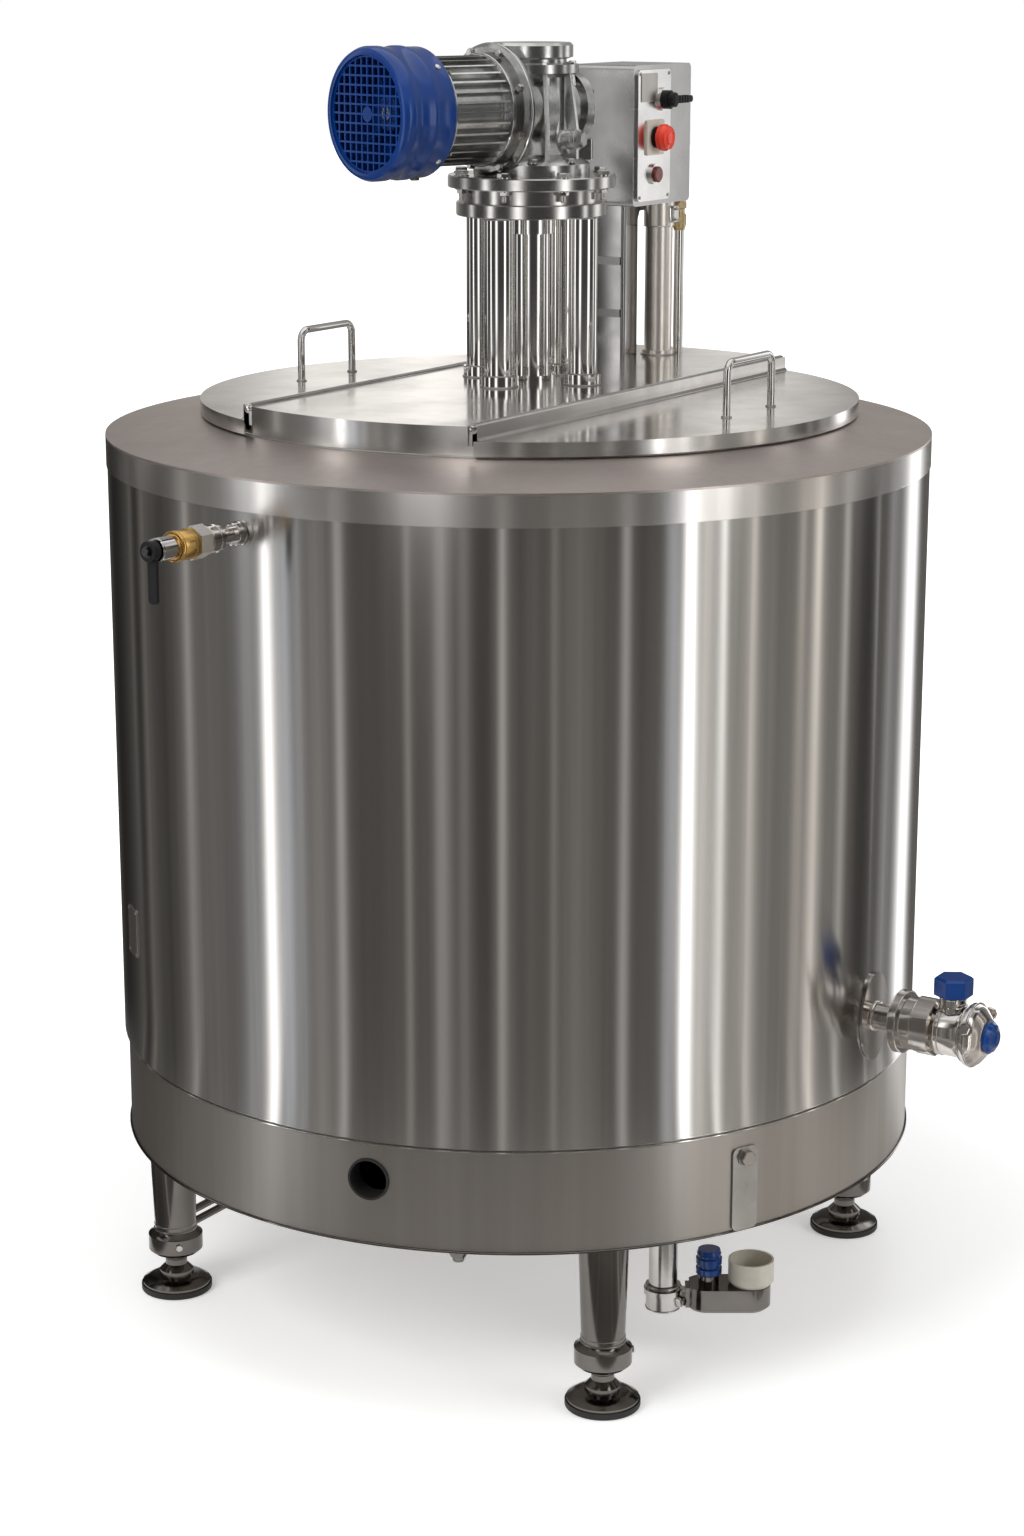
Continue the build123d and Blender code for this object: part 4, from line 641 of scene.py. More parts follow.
class DRESS_OT_beads(bpy.types.Operator):
    """Adds the rolled edges and weld beads of the vat, and the tip of its drip nozzle"""
    bl_idname = "dress.beads"
    bl_label = "Edges and welds"

    def execute(self, context):
        bead = context.scene.vat_finish.bead_radius
        with piece("seam_beads", "polished_tube") as bm:
            add_hoop(bm, on_axis(AXIS, SEAM_Z - 5.5 * MM), SKIRT_RADIUS - 1.2 * MM, bead)
            add_hoop(bm, on_axis(AXIS, SEAM_Z + 0.6 * MM), SHELL_RADIUS - 0.9 * MM, bead * 0.7)
        # The lower edge and nozzle tip take the very dark steel, a painted dark reflection
        with piece("lower_edge", "leg_steel_painted_dark") as bm:
            add_hoop(bm, on_axis(AXIS, SKIRT_LOW + bead), SKIRT_RADIUS - 1.5 * MM, bead)
            low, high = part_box("drip_nozzle")
            tip = shift((low.x + high.x) / 2, (low.y + high.y) / 2, low.z - 4 * MM)
            profile = in_mm((0, 0), (8, 0), (9.5, 4), (16, 16), (16, 30), (0, 30))
            add_turned(bm, profile, tip, 28)
        with piece("rim_beads", "polished_sheet") as bm:
            add_hoop(bm, on_axis(AXIS, RIM_Z + 1.2 * MM), COLLAR_RADIUS - 1.9 * MM, bead * 1.1)
            low_bead = on_axis(AXIS, COLLAR_LOW + 0.4 * MM)
            add_hoop(bm, low_bead, COLLAR_RADIUS - 0.8 * MM, bead * 0.5)
        with piece("neck_weld", "weld") as bm:
            add_hoop(bm, on_axis(MOUTH, DECK_TOP), NECK_RADIUS, bead * 1.5)
        return {"FINISHED"}


class DRESS_OT_legs(bpy.types.Operator):
    """Adds the weld beads, lock screws and stem threads of the legs, and the lower stays"""
    bl_idname = "dress.legs"
    bl_label = "Leg fittings"

    def execute(self, context):
        collar_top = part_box("legs")[0].z + 36 * MM
        foot_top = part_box("feet")[1].z
        places = leg_places()
        with piece("leg_welds", "weld") as bm:
            for place in places:
                add_bead(bm, place + UP * (collar_top + 1.2 * MM), 31.3, 1.5)
                add_bead(bm, place + UP * (collar_top + 9 * MM), 31.2, 0.9)
        with piece("leg_lock_screws", "machined_steel") as bm:
            for index, place in enumerate(places):
                way = way_at(FIRST_LEG + LEG_STEP * (index + 1))
                face = place + UP * (collar_top - 18 * MM) + way * 40.6 * MM
                add_bolt(bm, looking(face, way), 6 * MM, washer=False)
        # The foot threads here and the stays below take the very dark steel, a painted dark reflection
        with piece("foot_threads", "leg_steel_painted_dark") as bm:
            for place in places:
                for level in range(5):
                    thread_z = foot_top - (3 + 2.2 * level) * MM
                    add_hoop(bm, place + UP * thread_z, 16.4 * MM, 0.7 * MM, 32, 6)
        with piece("lower_stays", "leg_steel_painted_dark") as bm:
            run = places[0] - places[1]
            length = run.length * 0.93
            for level in (110 * MM, 91 * MM):
                rod = looking(places[1] + UP * level + run * 0.035, run)
                profile = [(0, 0), (6 * MM, 0), (6 * MM, length), (0, length)]
                add_turned(bm, profile, rod, 20)
        return {"FINISHED"}


class DRESS_OT_plates(bpy.types.Operator):
    """Adds the blank plate of the cladding and the bolt of the skirt's strap"""
    bl_idname = "dress.plates"
    bl_label = "Blank plate and strap bolt"

    def execute(self, context):
        angle = 143
        face = looking(out_from(AXIS, angle, SHELL_RADIUS - 0.6 * MM, 599 * MM), way_at(angle))
        with piece("blank_plate", "satin_sheet") as bm:
            add_prism(bm, rounded(46 * MM, 72 * MM, 5 * MM), 0, 2.2 * MM, face, 0.5 * MM)
        with piece("plate_rivets", "machined_steel") as bm:
            for x in (-18, 18):
                for y in (-31, 31):
                    add_pan_screw(bm, face @ shift(x * MM, y * MM, 2 * MM), 2.2 * MM)
        strap = middle("skirt_bracket")
        strap_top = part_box("skirt_bracket")[1].z
        angle = math.degrees(math.atan2(strap.y - AXIS.y, strap.x - AXIS.x))
        face = looking(out_from(AXIS, angle, SKIRT_RADIUS + 0.4 * MM, strap_top - 15 * MM),
                       way_at(angle))
        with piece("strap_bolt", "satin_sheet") as bm:
            add_bolt(bm, face, 12 * MM, turn=0)
        return {"FINISHED"}


def add_strip(bm, outline, centre_x, half, face_y, way):
    """Level strip along X with an outline of (distance out from the face, height) points."""
    ends = [[bm.verts.new((centre_x + x, face_y + way * out, z)) for out, z in outline]
            for x in (-half, half)]
    add_band(bm, *ends)
    bm.faces.new(ends[0])
    bm.faces.new(list(reversed(ends[1])))


class DRESS_OT_mouth(bpy.types.Operator):
    """Adds the handle and post welds, the lids' edge strips and the ends of the hinge pins"""
    bl_idname = "dress.mouth"
    bl_label = "Lid and bridge fittings"

    def execute(self, context):
        for side in ("left", "right"):
            low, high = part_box("lid_handle_" + side)
            with piece("handle_welds_" + side, "weld", side + "_lid") as bm:
                for x in (low.x + 5.5 * MM, high.x - 5.5 * MM):
                    foot = Vector((x, (low.y + high.y) / 2, low.z + 0.6 * MM))
                    add_bead(bm, foot, 6.2, 1.6, 32)
        low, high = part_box("hinge_pins")
        centre = (low + high) / 2
        pin_radius = 3 * MM
        lid_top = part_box("lid_handle_left")[0].z
        ridge = centre.z + 3.6 * MM
        outline = [(0, lid_top), (0, ridge), (0.5 * MM, centre.z + 4.6 * MM), (1.0 * MM, ridge),
                   (1.2 * MM, lid_top + 4 * MM), (4.5 * MM, lid_top + 0.4 * MM),
                   (4.5 * MM, lid_top)]
        for side, way in (("left", 1), ("right", -1)):
            face_y = centre.y + way * ((high.y - low.y) / 2 - pin_radius + 7.3 * MM)
            with piece("lid_edge_" + side, "edge_strip", side + "_lid") as bm:
                add_strip(bm, outline, centre.x, (high.x - low.x) / 2, face_y, way)
        with piece("pin_heads", "polished_tube") as bm:
            profile = in_mm((0, -2), (4.6, -2), (4.6, 1), (3, 2.4), (0, 2.8))
            for y in (low.y + pin_radius, high.y - pin_radius):
                for x, way in ((low.x, -1), (high.x, 1)):
                    end = Vector((x, y, (low.z + high.z) / 2))
                    add_turned(bm, profile, looking(end, (way, 0, 0)), 20)
        with piece("post_welds", "weld") as bm:
            for x, y, _ in ring_of(4, 87.5 * MM):
                foot = Vector((TOWER.x + x, TOWER.y + y, BRIDGE_TOP + 0.8 * MM))
                add_bead(bm, foot, 26.2, 1.5, 48)
                add_bead(bm, foot + UP * 15.6 * MM, 21.6, 1.1, 48)
                add_bead(bm, on_axis(foot, TOWER_TOP - 0.8 * MM), 21.6, 1.2, 48)
            add_bead(bm, on_axis(COLUMN, BRIDGE_TOP + 0.8 * MM), 26.2, 1.4, 48)
        return {"FINISHED"}


class DRESS_OT_drive_bolts(bpy.types.Operator):
    """Adds the bolts of the drive plates and the gear unit"""
    bl_idname = "dress.drive_bolts"
    bl_label = "Drive bolts"

    def execute(self, context):
        look = context.scene.drive_finish
        plate_low, plate_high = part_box("drive_plate")
        plate_radius = size_of("drive_plate").x / 2
        under = Matrix.Rotation(math.pi, 4, "X")
        with piece("plate_bolts", "machined_steel") as bm:
            for x, y, turn in ring_of(look.plate_bolts, plate_radius - 12 * MM, 11):
                place = Vector((TOWER.x + x, TOWER.y + y, 0))
                above = Matrix.Translation(place + UP * plate_high.z)
                below = Matrix.Translation(place + UP * plate_low.z) @ under
                add_bolt(bm, above, look.bolt_size, turn=turn)
                add_bolt(bm, below, look.bolt_size * 0.85, turn=turn)
                add_turned(bm, in_mm((4, 0), (4, 15), (3, 16), (0, 16)), below, 16)
        with piece("gear_bolts", "machined_steel") as bm:
            foot_z = GEAR_LOW + 19 * MM
            for x, y, turn in ring_of(8, 76 * MM, 33):
                add_bolt(bm, shift(TOWER.x + x, TOWER.y + y, foot_z), 8 * MM, turn=turn)
            flange_z = GEAR_LOW + 155 * MM
            for x, y, turn in ring_of(8, 61.5 * MM, 5):
                place = shift(TOWER.x + x, TOWER.y + y, flange_z)
                add_bolt(bm, place, 6 * MM, False, turn)
                below = shift(TOWER.x + x, TOWER.y + y, flange_z - 13 * MM) @ under
                add_turned(bm, in_mm((3, 0), (3, 26), (0, 27)), below, 14)
        with piece("cover_bolts", "dark_steel") as bm:
            back = looking(along_motor(-78 * MM), -MOTOR_WAY)
            for x, y, _ in ring_of(6, 42 * MM, 30):
                add_socket_screw(bm, back @ shift(x, y, 0), 6 * MM)
        turn = math.atan2(MOTOR_WAY.y, MOTOR_WAY.x) + math.radians(115)
        way = Vector((math.cos(turn), math.sin(turn), 0))
        plug = looking(on_axis(TOWER, GEAR_LOW + 50 * MM) + way * 74 * MM, way)
        with piece("gear_plug", "machined_steel") as bm:
            add_bolt(bm, plug, 12 * MM)
            add_bead(bm, plug @ shift(0, 0, -2 * MM), 15.2, 1.2, 36)
            add_bead(bm, plug @ shift(0, 0, -9 * MM), 15.2, 1.0, 36)
        return {"FINISHED"}


class DRESS_OT_motor_bolts(bpy.types.Operator):
    """Adds the bolts of the motor, the screws of its fan cover and its terminal cover"""
    bl_idname = "dress.motor_bolts"
    bl_label = "Motor fittings"

    def execute(self, context):
        face = looking(along_motor(86 * MM), MOTOR_WAY)
        rear = looking(along_motor(196 * MM), -MOTOR_WAY)
        with piece("motor_bolts", "machined_steel") as bm:
            for x, y, turn in ring_of(8, 85 * MM, 22.5):
                add_bolt(bm, face @ shift(x, y, 0), 6 * MM, turn=turn)
            for x, y, turn in ring_of(4, 77 * MM, 45):
                add_bolt(bm, rear @ shift(x, y, 0), 4.5 * MM, False, turn)
        with piece("adapter_beads", "polished_tube") as bm:
            add_bead(bm, looking(along_motor(76 * MM), MOTOR_WAY), 92, 1.3, 96)
            add_bead(bm, looking(along_motor(98 * MM), MOTOR_WAY), 78.3, 1.1, 80)
        side = looking(along_motor(222 * MM), MOTOR_WAY)
        with piece("cover_screws", "polished_tube") as bm:
            for x, y, turn in ring_of(4, 90 * MM, 45):
                way = side.to_3x3() @ Vector((math.cos(turn), math.sin(turn), 0))
                add_pan_screw(bm, looking(side @ Vector((x, y, 0)), way, MOTOR_WAY), 4.5 * MM)
        with piece("drain_grub", "dark_steel") as bm:
            under = along_motor(214 * MM) - UP * 89 * MM
            add_bolt(bm, looking(under, -UP, MOTOR_WAY), 7 * MM, False)
        lid = looking(along_motor(146.5 * MM) + TERMINAL_WAY * 117.6 * MM, TERMINAL_WAY)
        with piece("terminal_cover", "cast_grey") as bm:
            add_prism(bm, rounded(94 * MM, 82 * MM, 9 * MM), 0, 6 * MM, lid, 1.5 * MM)
        with piece("terminal_screws", "machined_steel") as bm:
            for x in (-39, 39):
                for y in (-33, 33):
                    add_pan_screw(bm, lid @ shift(x * MM, y * MM, 6 * MM), 4 * MM)
        return {"FINISHED"}


class DRESS_OT_control(bpy.types.Operator):
    """Adds the blank label, screws, rings and clamps of the control box"""
    bl_idname = "dress.control"
    bl_label = "Control box fittings"

    def execute(self, context):
        middle_x = (PLATE_LOW.x + PLATE_HIGH.x) / 2
        face_y = BOX_LOW.y - 4 * MM
        inset = 6 * MM
        across = (PLATE_HIGH.x - PLATE_LOW.x) / 2 - inset
        with piece("box_screws", "machined_steel") as bm:
            for x in (middle_x - across, middle_x + across):
                for z in (PLATE_LOW.z + inset, PLATE_HIGH.z - inset):
                    add_pan_screw(bm, looking(Vector((x, face_y, z)), FRONT), 3 * MM)
        with piece("blank_label", "satin_sheet") as bm:
            label = looking(Vector((middle_x - 17 * MM, face_y, BOX_HIGH.z - 33 * MM)), FRONT)
            outline = rounded(48 * MM, 42 * MM, 2 * MM)
            add_prism(bm, outline, -0.5 * MM, 1.2 * MM, label, 0.3 * MM)
        stop_z = middle("estop_button").z
        with piece("stop_rings", "red_plastic", "stop_head") as bm:
            stop = Vector((middle_x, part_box("estop_button")[0].y, stop_z))
            for radius, back in ((9.5, 1.0), (16.6, 4.2)):
                ring = looking(stop - FRONT * back * MM, FRONT)
                add_bead(bm, ring, radius, 0.8)
        with piece("stop_collar", "black_plastic") as bm:
            collar = looking(Vector((middle_x, face_y - 3 * MM, stop_z)), FRONT)
            add_turned(bm, in_mm((16, 0), (16, 3), (14, 4.4), (11.6, 4.4)), collar, 40)
        with piece("selector_grip", "black_plastic", "selector_head") as bm:
            pivot = pivot_of("selector_turn")
            knob = looking(Vector((pivot.x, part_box("selector")[0].y, pivot.z)), FRONT)
            add_turned(bm, in_mm((11, -8), (11, 1.5), (8, 3.5), (0, 3.8)), knob, 32)
            for reach in (18, 26, 34, 42):
                rib = knob @ shift(reach * MM, 0, 0)
                add_prism(bm, rounded(3 * MM, 11.5 * MM, 1.2 * MM), -8 * MM, 0.8 * MM, rib)
        with piece("gland_rings", "pale_brass") as bm:
            gland = middle("cable_gland")
            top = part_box("cable_gland")[1].z
            for level in range(6):
                ridge = on_axis(gland, top - (23 + 2.6 * level) * MM)
                add_bead(bm, ridge, 10.5, 0.9, 32)
            nut = shift(gland.x, gland.y, top - 12 * MM)
            add_prism(bm, polygon(12 * MM, 6, 0.4), 0, 10 * MM, nut, 1 * MM)
        with piece("column_clamp", "polished_tube") as bm:
            ear = looking(Vector((COLUMN.x, COLUMN.y - 23.6 * MM, BOX_LOW.z - 19 * MM)), FRONT)
            add_prism(bm, rounded(15 * MM, 26 * MM, 3 * MM), 0, 7 * MM, ear, 1 * MM)
            for z in (-8, 8):
                add_socket_screw(bm, ear @ shift(0, z * MM, 7 * MM), 4 * MM)
            add_bead(bm, on_axis(COLUMN, BOX_LOW.z - 37.4 * MM), 23.4, 1.0, 48)
        return {"FINISHED"}


# Rings of the outlet and the tap, in mm: distance from the vat's axis, radius and, on the
# outlet, thickness
OUTLET_RINGS = ((604, 19.6, 2.2), (640.6, 44.2, 1.2), (651.4, 44.2, 1.2), (671, 37.6, 1.2),
                (707, 36.2, 0.9), (713, 36.2, 0.9), (746, 40, 1.6), (757.5, 45, 1.4))
TAP_RINGS = ((600.2, 15.6), (611.5, 14.6), (649, 18.4), (664, 18.4), (753, 14.8))
TAP_BRASS_RINGS = (692, 697, 719, 724)


class DRESS_OT_valves(bpy.types.Operator):
    """Adds the beads, rings and screws of the outlet, the tap and the drain"""
    bl_idname = "dress.valves"
    bl_label = "Valve fittings"

    def execute(self, context):
        with piece("outlet_rings", "valve_steel") as bm:
            for reach, radius, bead in OUTLET_RINGS:
                ring = looking(along_outlet(reach * MM), FRONT)
                add_bead(bm, ring, radius, bead, 64)
            knob = middle("outlet_knob")
            for level, bead in ((50, 1.2), (38, 1.6)):
                add_bead(bm, on_axis(knob, OUTLET.z + level * MM), 19.2, bead)
        with piece("outlet_clamp_bolts", "valve_steel") as bm:
            for side in (-1, 1):
                ear = along_outlet(760 * MM) + Vector((side * 41 * MM, 0, 20 * MM))
                add_bolt(bm, looking(ear, (side, 0, 0.4)), 9 * MM)
        with piece("outlet_cap_rings", "blue_plastic") as bm:
            cap = looking(along_outlet(776 * MM), FRONT)
            add_bead(bm, cap @ shift(0, 0, 4 * MM), 22.4, 1.2, 48)
            add_bead(bm, cap @ shift(0, 0, 12.8 * MM), 12, 0.9)
        with piece("tap_rings", "valve_steel") as bm:
            for reach, radius in TAP_RINGS:
                ring = looking(along_tap(reach * MM), TAP_WAY)
                add_bead(bm, ring, radius, 1.1)
        with piece("tap_brass_rings", "brass") as bm:
            for reach in TAP_BRASS_RINGS:
                ring = looking(along_tap(reach * MM), TAP_WAY)
                add_bead(bm, ring, 19.8, 0.9, 48)
        with piece("tap_lever_nut", "dark_steel", "tap_handle") as bm:
            lever_face = (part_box("tap_lever")[0] - TAP_POINT).dot(TAP_WAY)
            end = looking(TAP_POINT, TAP_WAY) @ shift(0, 0, max(lever_face, 7 * MM))
            add_bolt(bm, end, 7 * MM)
        with piece("drain_clamp", "machined_steel") as bm:
            pipe_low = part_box("drain_pipe")[0].z
            pipe = pivot_of("drain_knob_turn") - out_from(ORIGIN, -58, 66 * MM, 0)
            for level in (4, 30, 38):
                add_bead(bm, on_axis(pipe, pipe_low + level * MM), 24.6, 1.5)
            ear = looking(on_axis(pipe, pipe_low + 17 * MM) + FRONT * 24 * MM, FRONT)
            add_prism(bm, rounded(12 * MM, 16 * MM, 3 * MM), -2 * MM, 8 * MM, ear, 1.5 * MM)
            add_bolt(bm, ear @ shift(0, 0, 8 * MM), 6 * MM)
        return {"FINISHED"}


class DRESS_OT_stage(bpy.types.Operator):
    """Sets up the pale floor, the soft lamps, the reflecting screens and the camera"""
    bl_idname = "dress.stage"
    bl_label = "Floor, lamps and camera"

    def execute(self, context):
        add_floor(context.scene.stage_look)
        add_world()
        add_lamps(context.scene.stage_look)
        add_screens()
        add_camera()
        context.scene.view_settings.view_transform = "Standard"
        return {"FINISHED"}


def stage_material(name):
    """Material with no nodes yet."""
    material = bpy.data.materials.new(name)
    material.use_nodes = True
    material.node_tree.nodes.clear()
    return material, material.node_tree


def seen(tree):
    """One for rays from the camera, off gloss or through glass, and otherwise nought."""
    path = node(tree, "ShaderNodeLightPath").outputs
    return maths(tree, "MAXIMUM", path["Is Camera Ray"],
                 maths(tree, "MAXIMUM", path["Is Glossy Ray"], path["Is Transmission Ray"]))


# Where the floor begins to glow and where it is white, in metres from the vat's axis
GLOW_START = 0.7
GLOW_FULL = 2.2
FLOOR_DROP = 0.4 * MM


def add_floor(look):
    """White floor that glows more and more away from the vat, and keeps its shadow."""
    material, tree = stage_material("white_floor")
    place = node(tree, "ShaderNodeTexCoord").outputs["Object"]
    distance = node(tree, "ShaderNodeVectorMath", {0: place}, operation="LENGTH")
    lift = spread(tree, distance.outputs["Value"], look.floor_glow, 1.0, GLOW_START, GLOW_FULL,
                  interpolation_type="SMOOTHSTEP")
    paint = node(tree, "ShaderNodeBsdfDiffuse", {"Color": (0.86, 0.86, 0.86, 1)})
    glow = node(tree, "ShaderNodeEmission", {
        "Strength": maths(tree, "MULTIPLY", seen(tree), lift)})
    both = node(tree, "ShaderNodeAddShader", {0: paint.outputs[0], 1: glow.outputs[0]})
    node(tree, "ShaderNodeOutputMaterial", {"Surface": both.outputs[0]})
    bm = bmesh.new()
    bmesh.ops.create_circle(bm, cap_ends=True, radius=look.floor_radius, segments=96)
    floor = mesh_object("floor", bm, material)
    floor.location = on_axis(AXIS, FLOOR_Z - FLOOR_DROP)


def add_world():
    """White world, which lights the object at half of the strength that shows."""
    world = bpy.data.worlds.new("Studio")
    bpy.context.scene.world = world
    world.use_nodes = True
    tree = world.node_tree
    back = tree.nodes["Background"]
    back.inputs["Color"].default_value = (1, 1, 1, 1)
    strength = maths(tree, "ADD", maths(tree, "MULTIPLY", seen(tree), 0.5), 0.5)
    tree.links.new(strength, back.inputs["Strength"])


def add_aimed(data, place, way):
    """Adds a lamp or a camera that looks along a way."""
    obj = add_object(data)
    obj.location = place
    obj.rotation_mode = "QUATERNION"
    obj.rotation_quaternion = way.to_track_quat("-Z", "Y")
    return obj


def add_lamp(name, place, width, height, power):
    """Soft lamp that is aimed at the vat and isn't seen in its gloss."""
    data = bpy.data.lights.new(name, "AREA")
    data.shape = "RECTANGLE"
    data.size = width
    data.size_y = height
    data.energy = power
    add_aimed(data, place, on_axis(AXIS, 0.8) - place).visible_glossy = False


def add_lamps(look):
    add_lamp("key_lamp", out_from(AXIS, 170, 4.2, 3.4), 2.2, 2.2, look.key_power)
    add_lamp("fill_lamp", out_from(AXIS, 275, 4.6, 2.6), 2.4, 2.0, look.fill_power)
    add_lamp("top_lamp", on_axis(AXIS, 5.0), 3.4, 3.4, look.top_power)


# Upright screens round the vat, seen only in reflections, as a photographer's strips and flags
# are. Angles and half widths are in degrees round the vat, heights and radii in metres.
SCREEN_STEPS = 900
SCREEN_RADIUS = 1.62
SCREEN_LEVELS = (0.004, 0.6, 1.2, 1.28, 1.36, 1.42, 1.75, 1.9, 2.05, 2.2, 2.5, 2.8, 3.4)
CARD_RADII = (0.72, 0.9, 1.08, 1.25, 1.4, 1.52)
SCREEN_BASE = 0.11
SCREEN_TINT = (1.05, 1.0, 0.93)
CARD_TINT = (1.03, 1.0, 0.96)

# Bright strips that the cladding mirrors: angle, half width, brightness and warmth
STRIPS = (
    (96, 0.8, 0.16, 0.3), (104, 1.2, 0.1, 1), (126, 1.1, 0.36, 0.2), (126, 5, 0.09, 0.3),
    (137, 5, 0.07, 0), (147, 3.5, 0.3, -0.8), (153, 1.3, 3.4, 0), (157.5, 2.0, 0.6, -1),
    (161.5, 0.9, 0.4, -0.6), (166, 3, 0.16, 0.3), (172, 1.0, 0.5, 0), (188, 0.7, 0.24, 0.5),
    (195.5, 1.7, 0.24, 0), (200.5, 1.2, 0.14, 0.3), (208.7, 0.8, 0.45, 0.2), (220, 0.6, 0.2, 1),
    (211.5, 5, 0.055, 0.6), (226, 4.5, 0.1, 0.6), (235.5, 1.0, 0.5, 0),
    (246.2, 1.5, 0.4, -0.8), (250.5, 1.3, 3.4, 0), (254.5, 1.8, 0.7, 0.5), (262, 9, 0.27, 0.7),
    (284, 12, 0.2, 0.7), (258.6, 0.6, 3.0, 0), (266.7, 0.9, 0.7, 0.7), (280.8, 0.8, 0.6, 1),
    (286, 1.3, 1.15, 0.8), (296.5, 1.0, 0.75, 0.4), (310, 0.5, 0.7, 0), (319, 2.5, 0.3, -0.3),
    (333, 5, 2.4, -0.2), (50, 5, 0.4, 0),
)
# Dark flags between them: angle, half width and how much of the base they take away
FLAGS = ((80, 14, 0.09), (100, 2.5, 0.08), (114, 7, 0.05), (180, 6, 0.01), (204.5, 2.4, 0.04),
         (212.6, 1.8, 0.05), (306, 3.5, 0.07))
# Strips that the drive mirrors, above the vat: angle, half width and brightness
TOWER_STRIPS = ((148, 4, 2.4), (192, 7, 2.0), (258, 6, 2.8), (300, 4, 1.4), (329, 9, 1.5),
                (110, 4, 1.4))
TOWER_BASE = 0.055
# Broad backdrop behind the vat, which the lids mirror: angle, half width and brightness
BACKDROP = ((46, 5, 0.5), (38, 4, 0.55), (26, 4, -0.12), (16, 4, 0.25), (6, 3, -0.2))
BACKDROP_BASE = 0.62
BACKDROP_TOP = 0.46


def falling(degrees, angle, width):
    """Bell curve round an angle, from nought to one."""
    off = (degrees - angle + 180) % 360 - 180
    return math.exp(-(off / width) ** 2)


def ease(value, low, high):
    """Smooth step from nought at low to one at high."""
    share = min(max((value - low) / (high - low), 0), 1)
    return share * share * (3 - 2 * share)


def lit_by(strips, degrees):
    return sum(gain * falling(degrees, angle, width) for angle, width, gain in strips)


def blended(colour, target, share):
    return [value + (goal - value) * share for value, goal in zip(colour, target)]


def screen_glow(degrees, radius, z):
    """Colour of the screens' light at an angle, radius and height."""
    colour = [SCREEN_BASE * tint for tint in SCREEN_TINT]
    for angle, width, gain, warmth in STRIPS:
        share = gain * falling(degrees, angle, width)
        tints = (1 + 0.06 * warmth, 1, 1 - 0.09 * warmth)
        colour = [value + share * tint for value, tint in zip(colour, tints)]
    for angle, width, depth in FLAGS:
        share = 1 - depth / SCREEN_BASE * falling(degrees, angle, width)
        colour = [value * share for value in colour]
    # The level card at the screens' foot, which the skirt and legs mirror
    flat = 0.2 + 0.2 * ease(radius, 0.9, 1.25)
    flat *= 0.85 - 0.62 * falling(degrees, 98, 50) + 0.75 * falling(degrees, 306, 45)
    card = [flat * tint + 0.25 * value for value, tint in zip(colour, CARD_TINT)]
    colour = blended(colour, card, ease(SCREEN_RADIUS - radius, 0.0, 0.4))
    tower = TOWER_BASE + lit_by(TOWER_STRIPS, degrees)
    colour = blended(colour, [tower] * 3, ease(z, 1.2, 1.32))
    behind = BACKDROP_BASE + lit_by(BACKDROP, degrees)
    behind += (BACKDROP_TOP - behind) * ease(z, 1.75, 2.05)
    backdrop = [behind * tint for tint in CARD_TINT]
    colour = blended(colour, backdrop, falling(degrees, 30, 38) * ease(z, 1.3, 1.42))
    sky = 0.55 - 0.3 * falling(degrees, 30, 45)
    return blended(colour, [sky] * 3, ease(z, 2.02, 2.35))


def add_screens():
    """Adds the screens, with the glow of each of their points kept in the mesh."""
    material, tree = stage_material("studio_screens")
    glow = node(tree, "ShaderNodeAttribute", attribute_name="glow").outputs["Color"]
    light = node(tree, "ShaderNodeEmission", {"Color": glow})
    node(tree, "ShaderNodeOutputMaterial", {"Surface": light.outputs[0]})
    bm = bmesh.new()
    layer = bm.verts.layers.float_color.new("glow")
    profile = [(radius, SCREEN_LEVELS[0]) for radius in CARD_RADII]
    profile += [(SCREEN_RADIUS, z) for z in SCREEN_LEVELS]
    rows = []
    for radius, z in profile:
        row = []
        for step in range(SCREEN_STEPS):
            degrees = step * 360 / SCREEN_STEPS
            vert = bm.verts.new(out_from(AXIS, degrees, radius, z))
            vert[layer] = (*screen_glow(degrees, radius, z), 1)
            row.append(vert)
        rows.append(row)
    for below, above in zip(rows, rows[1:]):
        add_band(bm, below, above)
    screens = mesh_object("screens", bm, material)
    for rays in ("camera", "diffuse", "transmission", "volume_scatter", "shadow"):
        setattr(screens, "visible_" + rays, False)


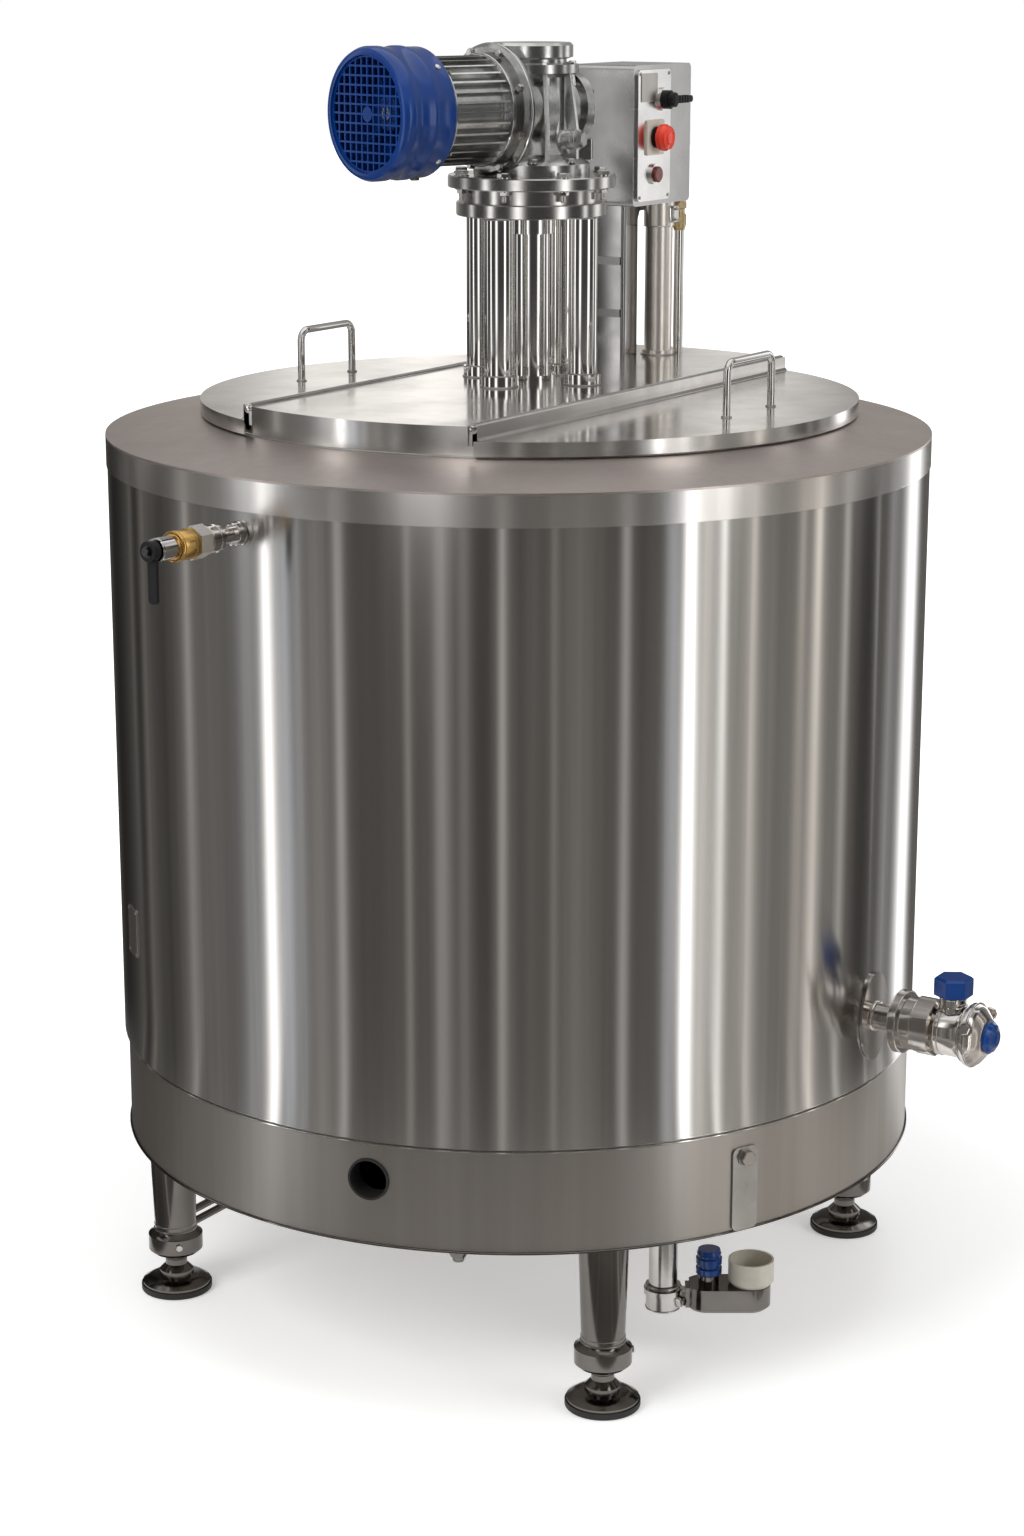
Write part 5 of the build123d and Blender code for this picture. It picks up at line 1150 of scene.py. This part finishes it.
# The photograph's camera: place from the vat's axis and the floor in metres, then degrees
CAMERA_PLACE = (-3.873, -2.437, 1.9706)
CAMERA_HEADING = 32.3
CAMERA_PITCH = 14.48
CAMERA_LENS_MM = 73.66


def add_camera():
    """Camera at the photograph's viewing angle."""
    data = bpy.data.cameras.new("Camera")
    data.lens = CAMERA_LENS_MM
    data.sensor_width = 36
    data.clip_end = 100
    x, y, z = CAMERA_PLACE
    place = Vector((AXIS.x + x, AXIS.y + y, FLOOR_Z + z))
    heading = math.radians(CAMERA_HEADING)
    pitch = math.radians(CAMERA_PITCH)
    level = math.cos(pitch)
    way = Vector((math.cos(heading) * level, math.sin(heading) * level, -math.sin(pitch)))
    bpy.context.scene.camera = add_aimed(data, place, way)


class DRESS_PT_panel(bpy.types.Panel):
    """Lists the dressing steps and their settings"""
    bl_idname = "DRESS_PT_panel"
    bl_label = "Batch Pasteurizer"
    bl_space_type = "VIEW_3D"
    bl_region_type = "UI"
    bl_category = "Pasteurizer"

    def draw(self, context):
        for name, group in SETTINGS.items():
            box = self.layout.box()
            for setting in group.__annotations__:
                box.prop(getattr(context.scene, name), setting)
        for step in STEPS:
            self.layout.operator(step.bl_idname)


SETTINGS = {"vat_finish": VatFinish, "drive_finish": DriveFinish, "stage_look": StageLook}
STEPS = (DRESS_OT_frame, DRESS_OT_beads, DRESS_OT_legs, DRESS_OT_plates, DRESS_OT_mouth,
         DRESS_OT_drive_bolts, DRESS_OT_motor_bolts, DRESS_OT_control, DRESS_OT_valves,
         DRESS_OT_stage)


def register():
    for name, group in SETTINGS.items():
        bpy.utils.register_class(group)
        setattr(bpy.types.Scene, name, bpy.props.PointerProperty(type=group))
    for step in STEPS:
        bpy.utils.register_class(step)
    bpy.utils.register_class(DRESS_PT_panel)


def unregister():
    bpy.utils.unregister_class(DRESS_PT_panel)
    for step in reversed(STEPS):
        bpy.utils.unregister_class(step)
    for name, group in SETTINGS.items():
        delattr(bpy.types.Scene, name)
        bpy.utils.unregister_class(group)


def main():
    register()
    for step in STEPS:
        family, name = step.bl_idname.split(".")
        getattr(getattr(bpy.ops, family), name)()


if __name__ == "__main__":
    main()
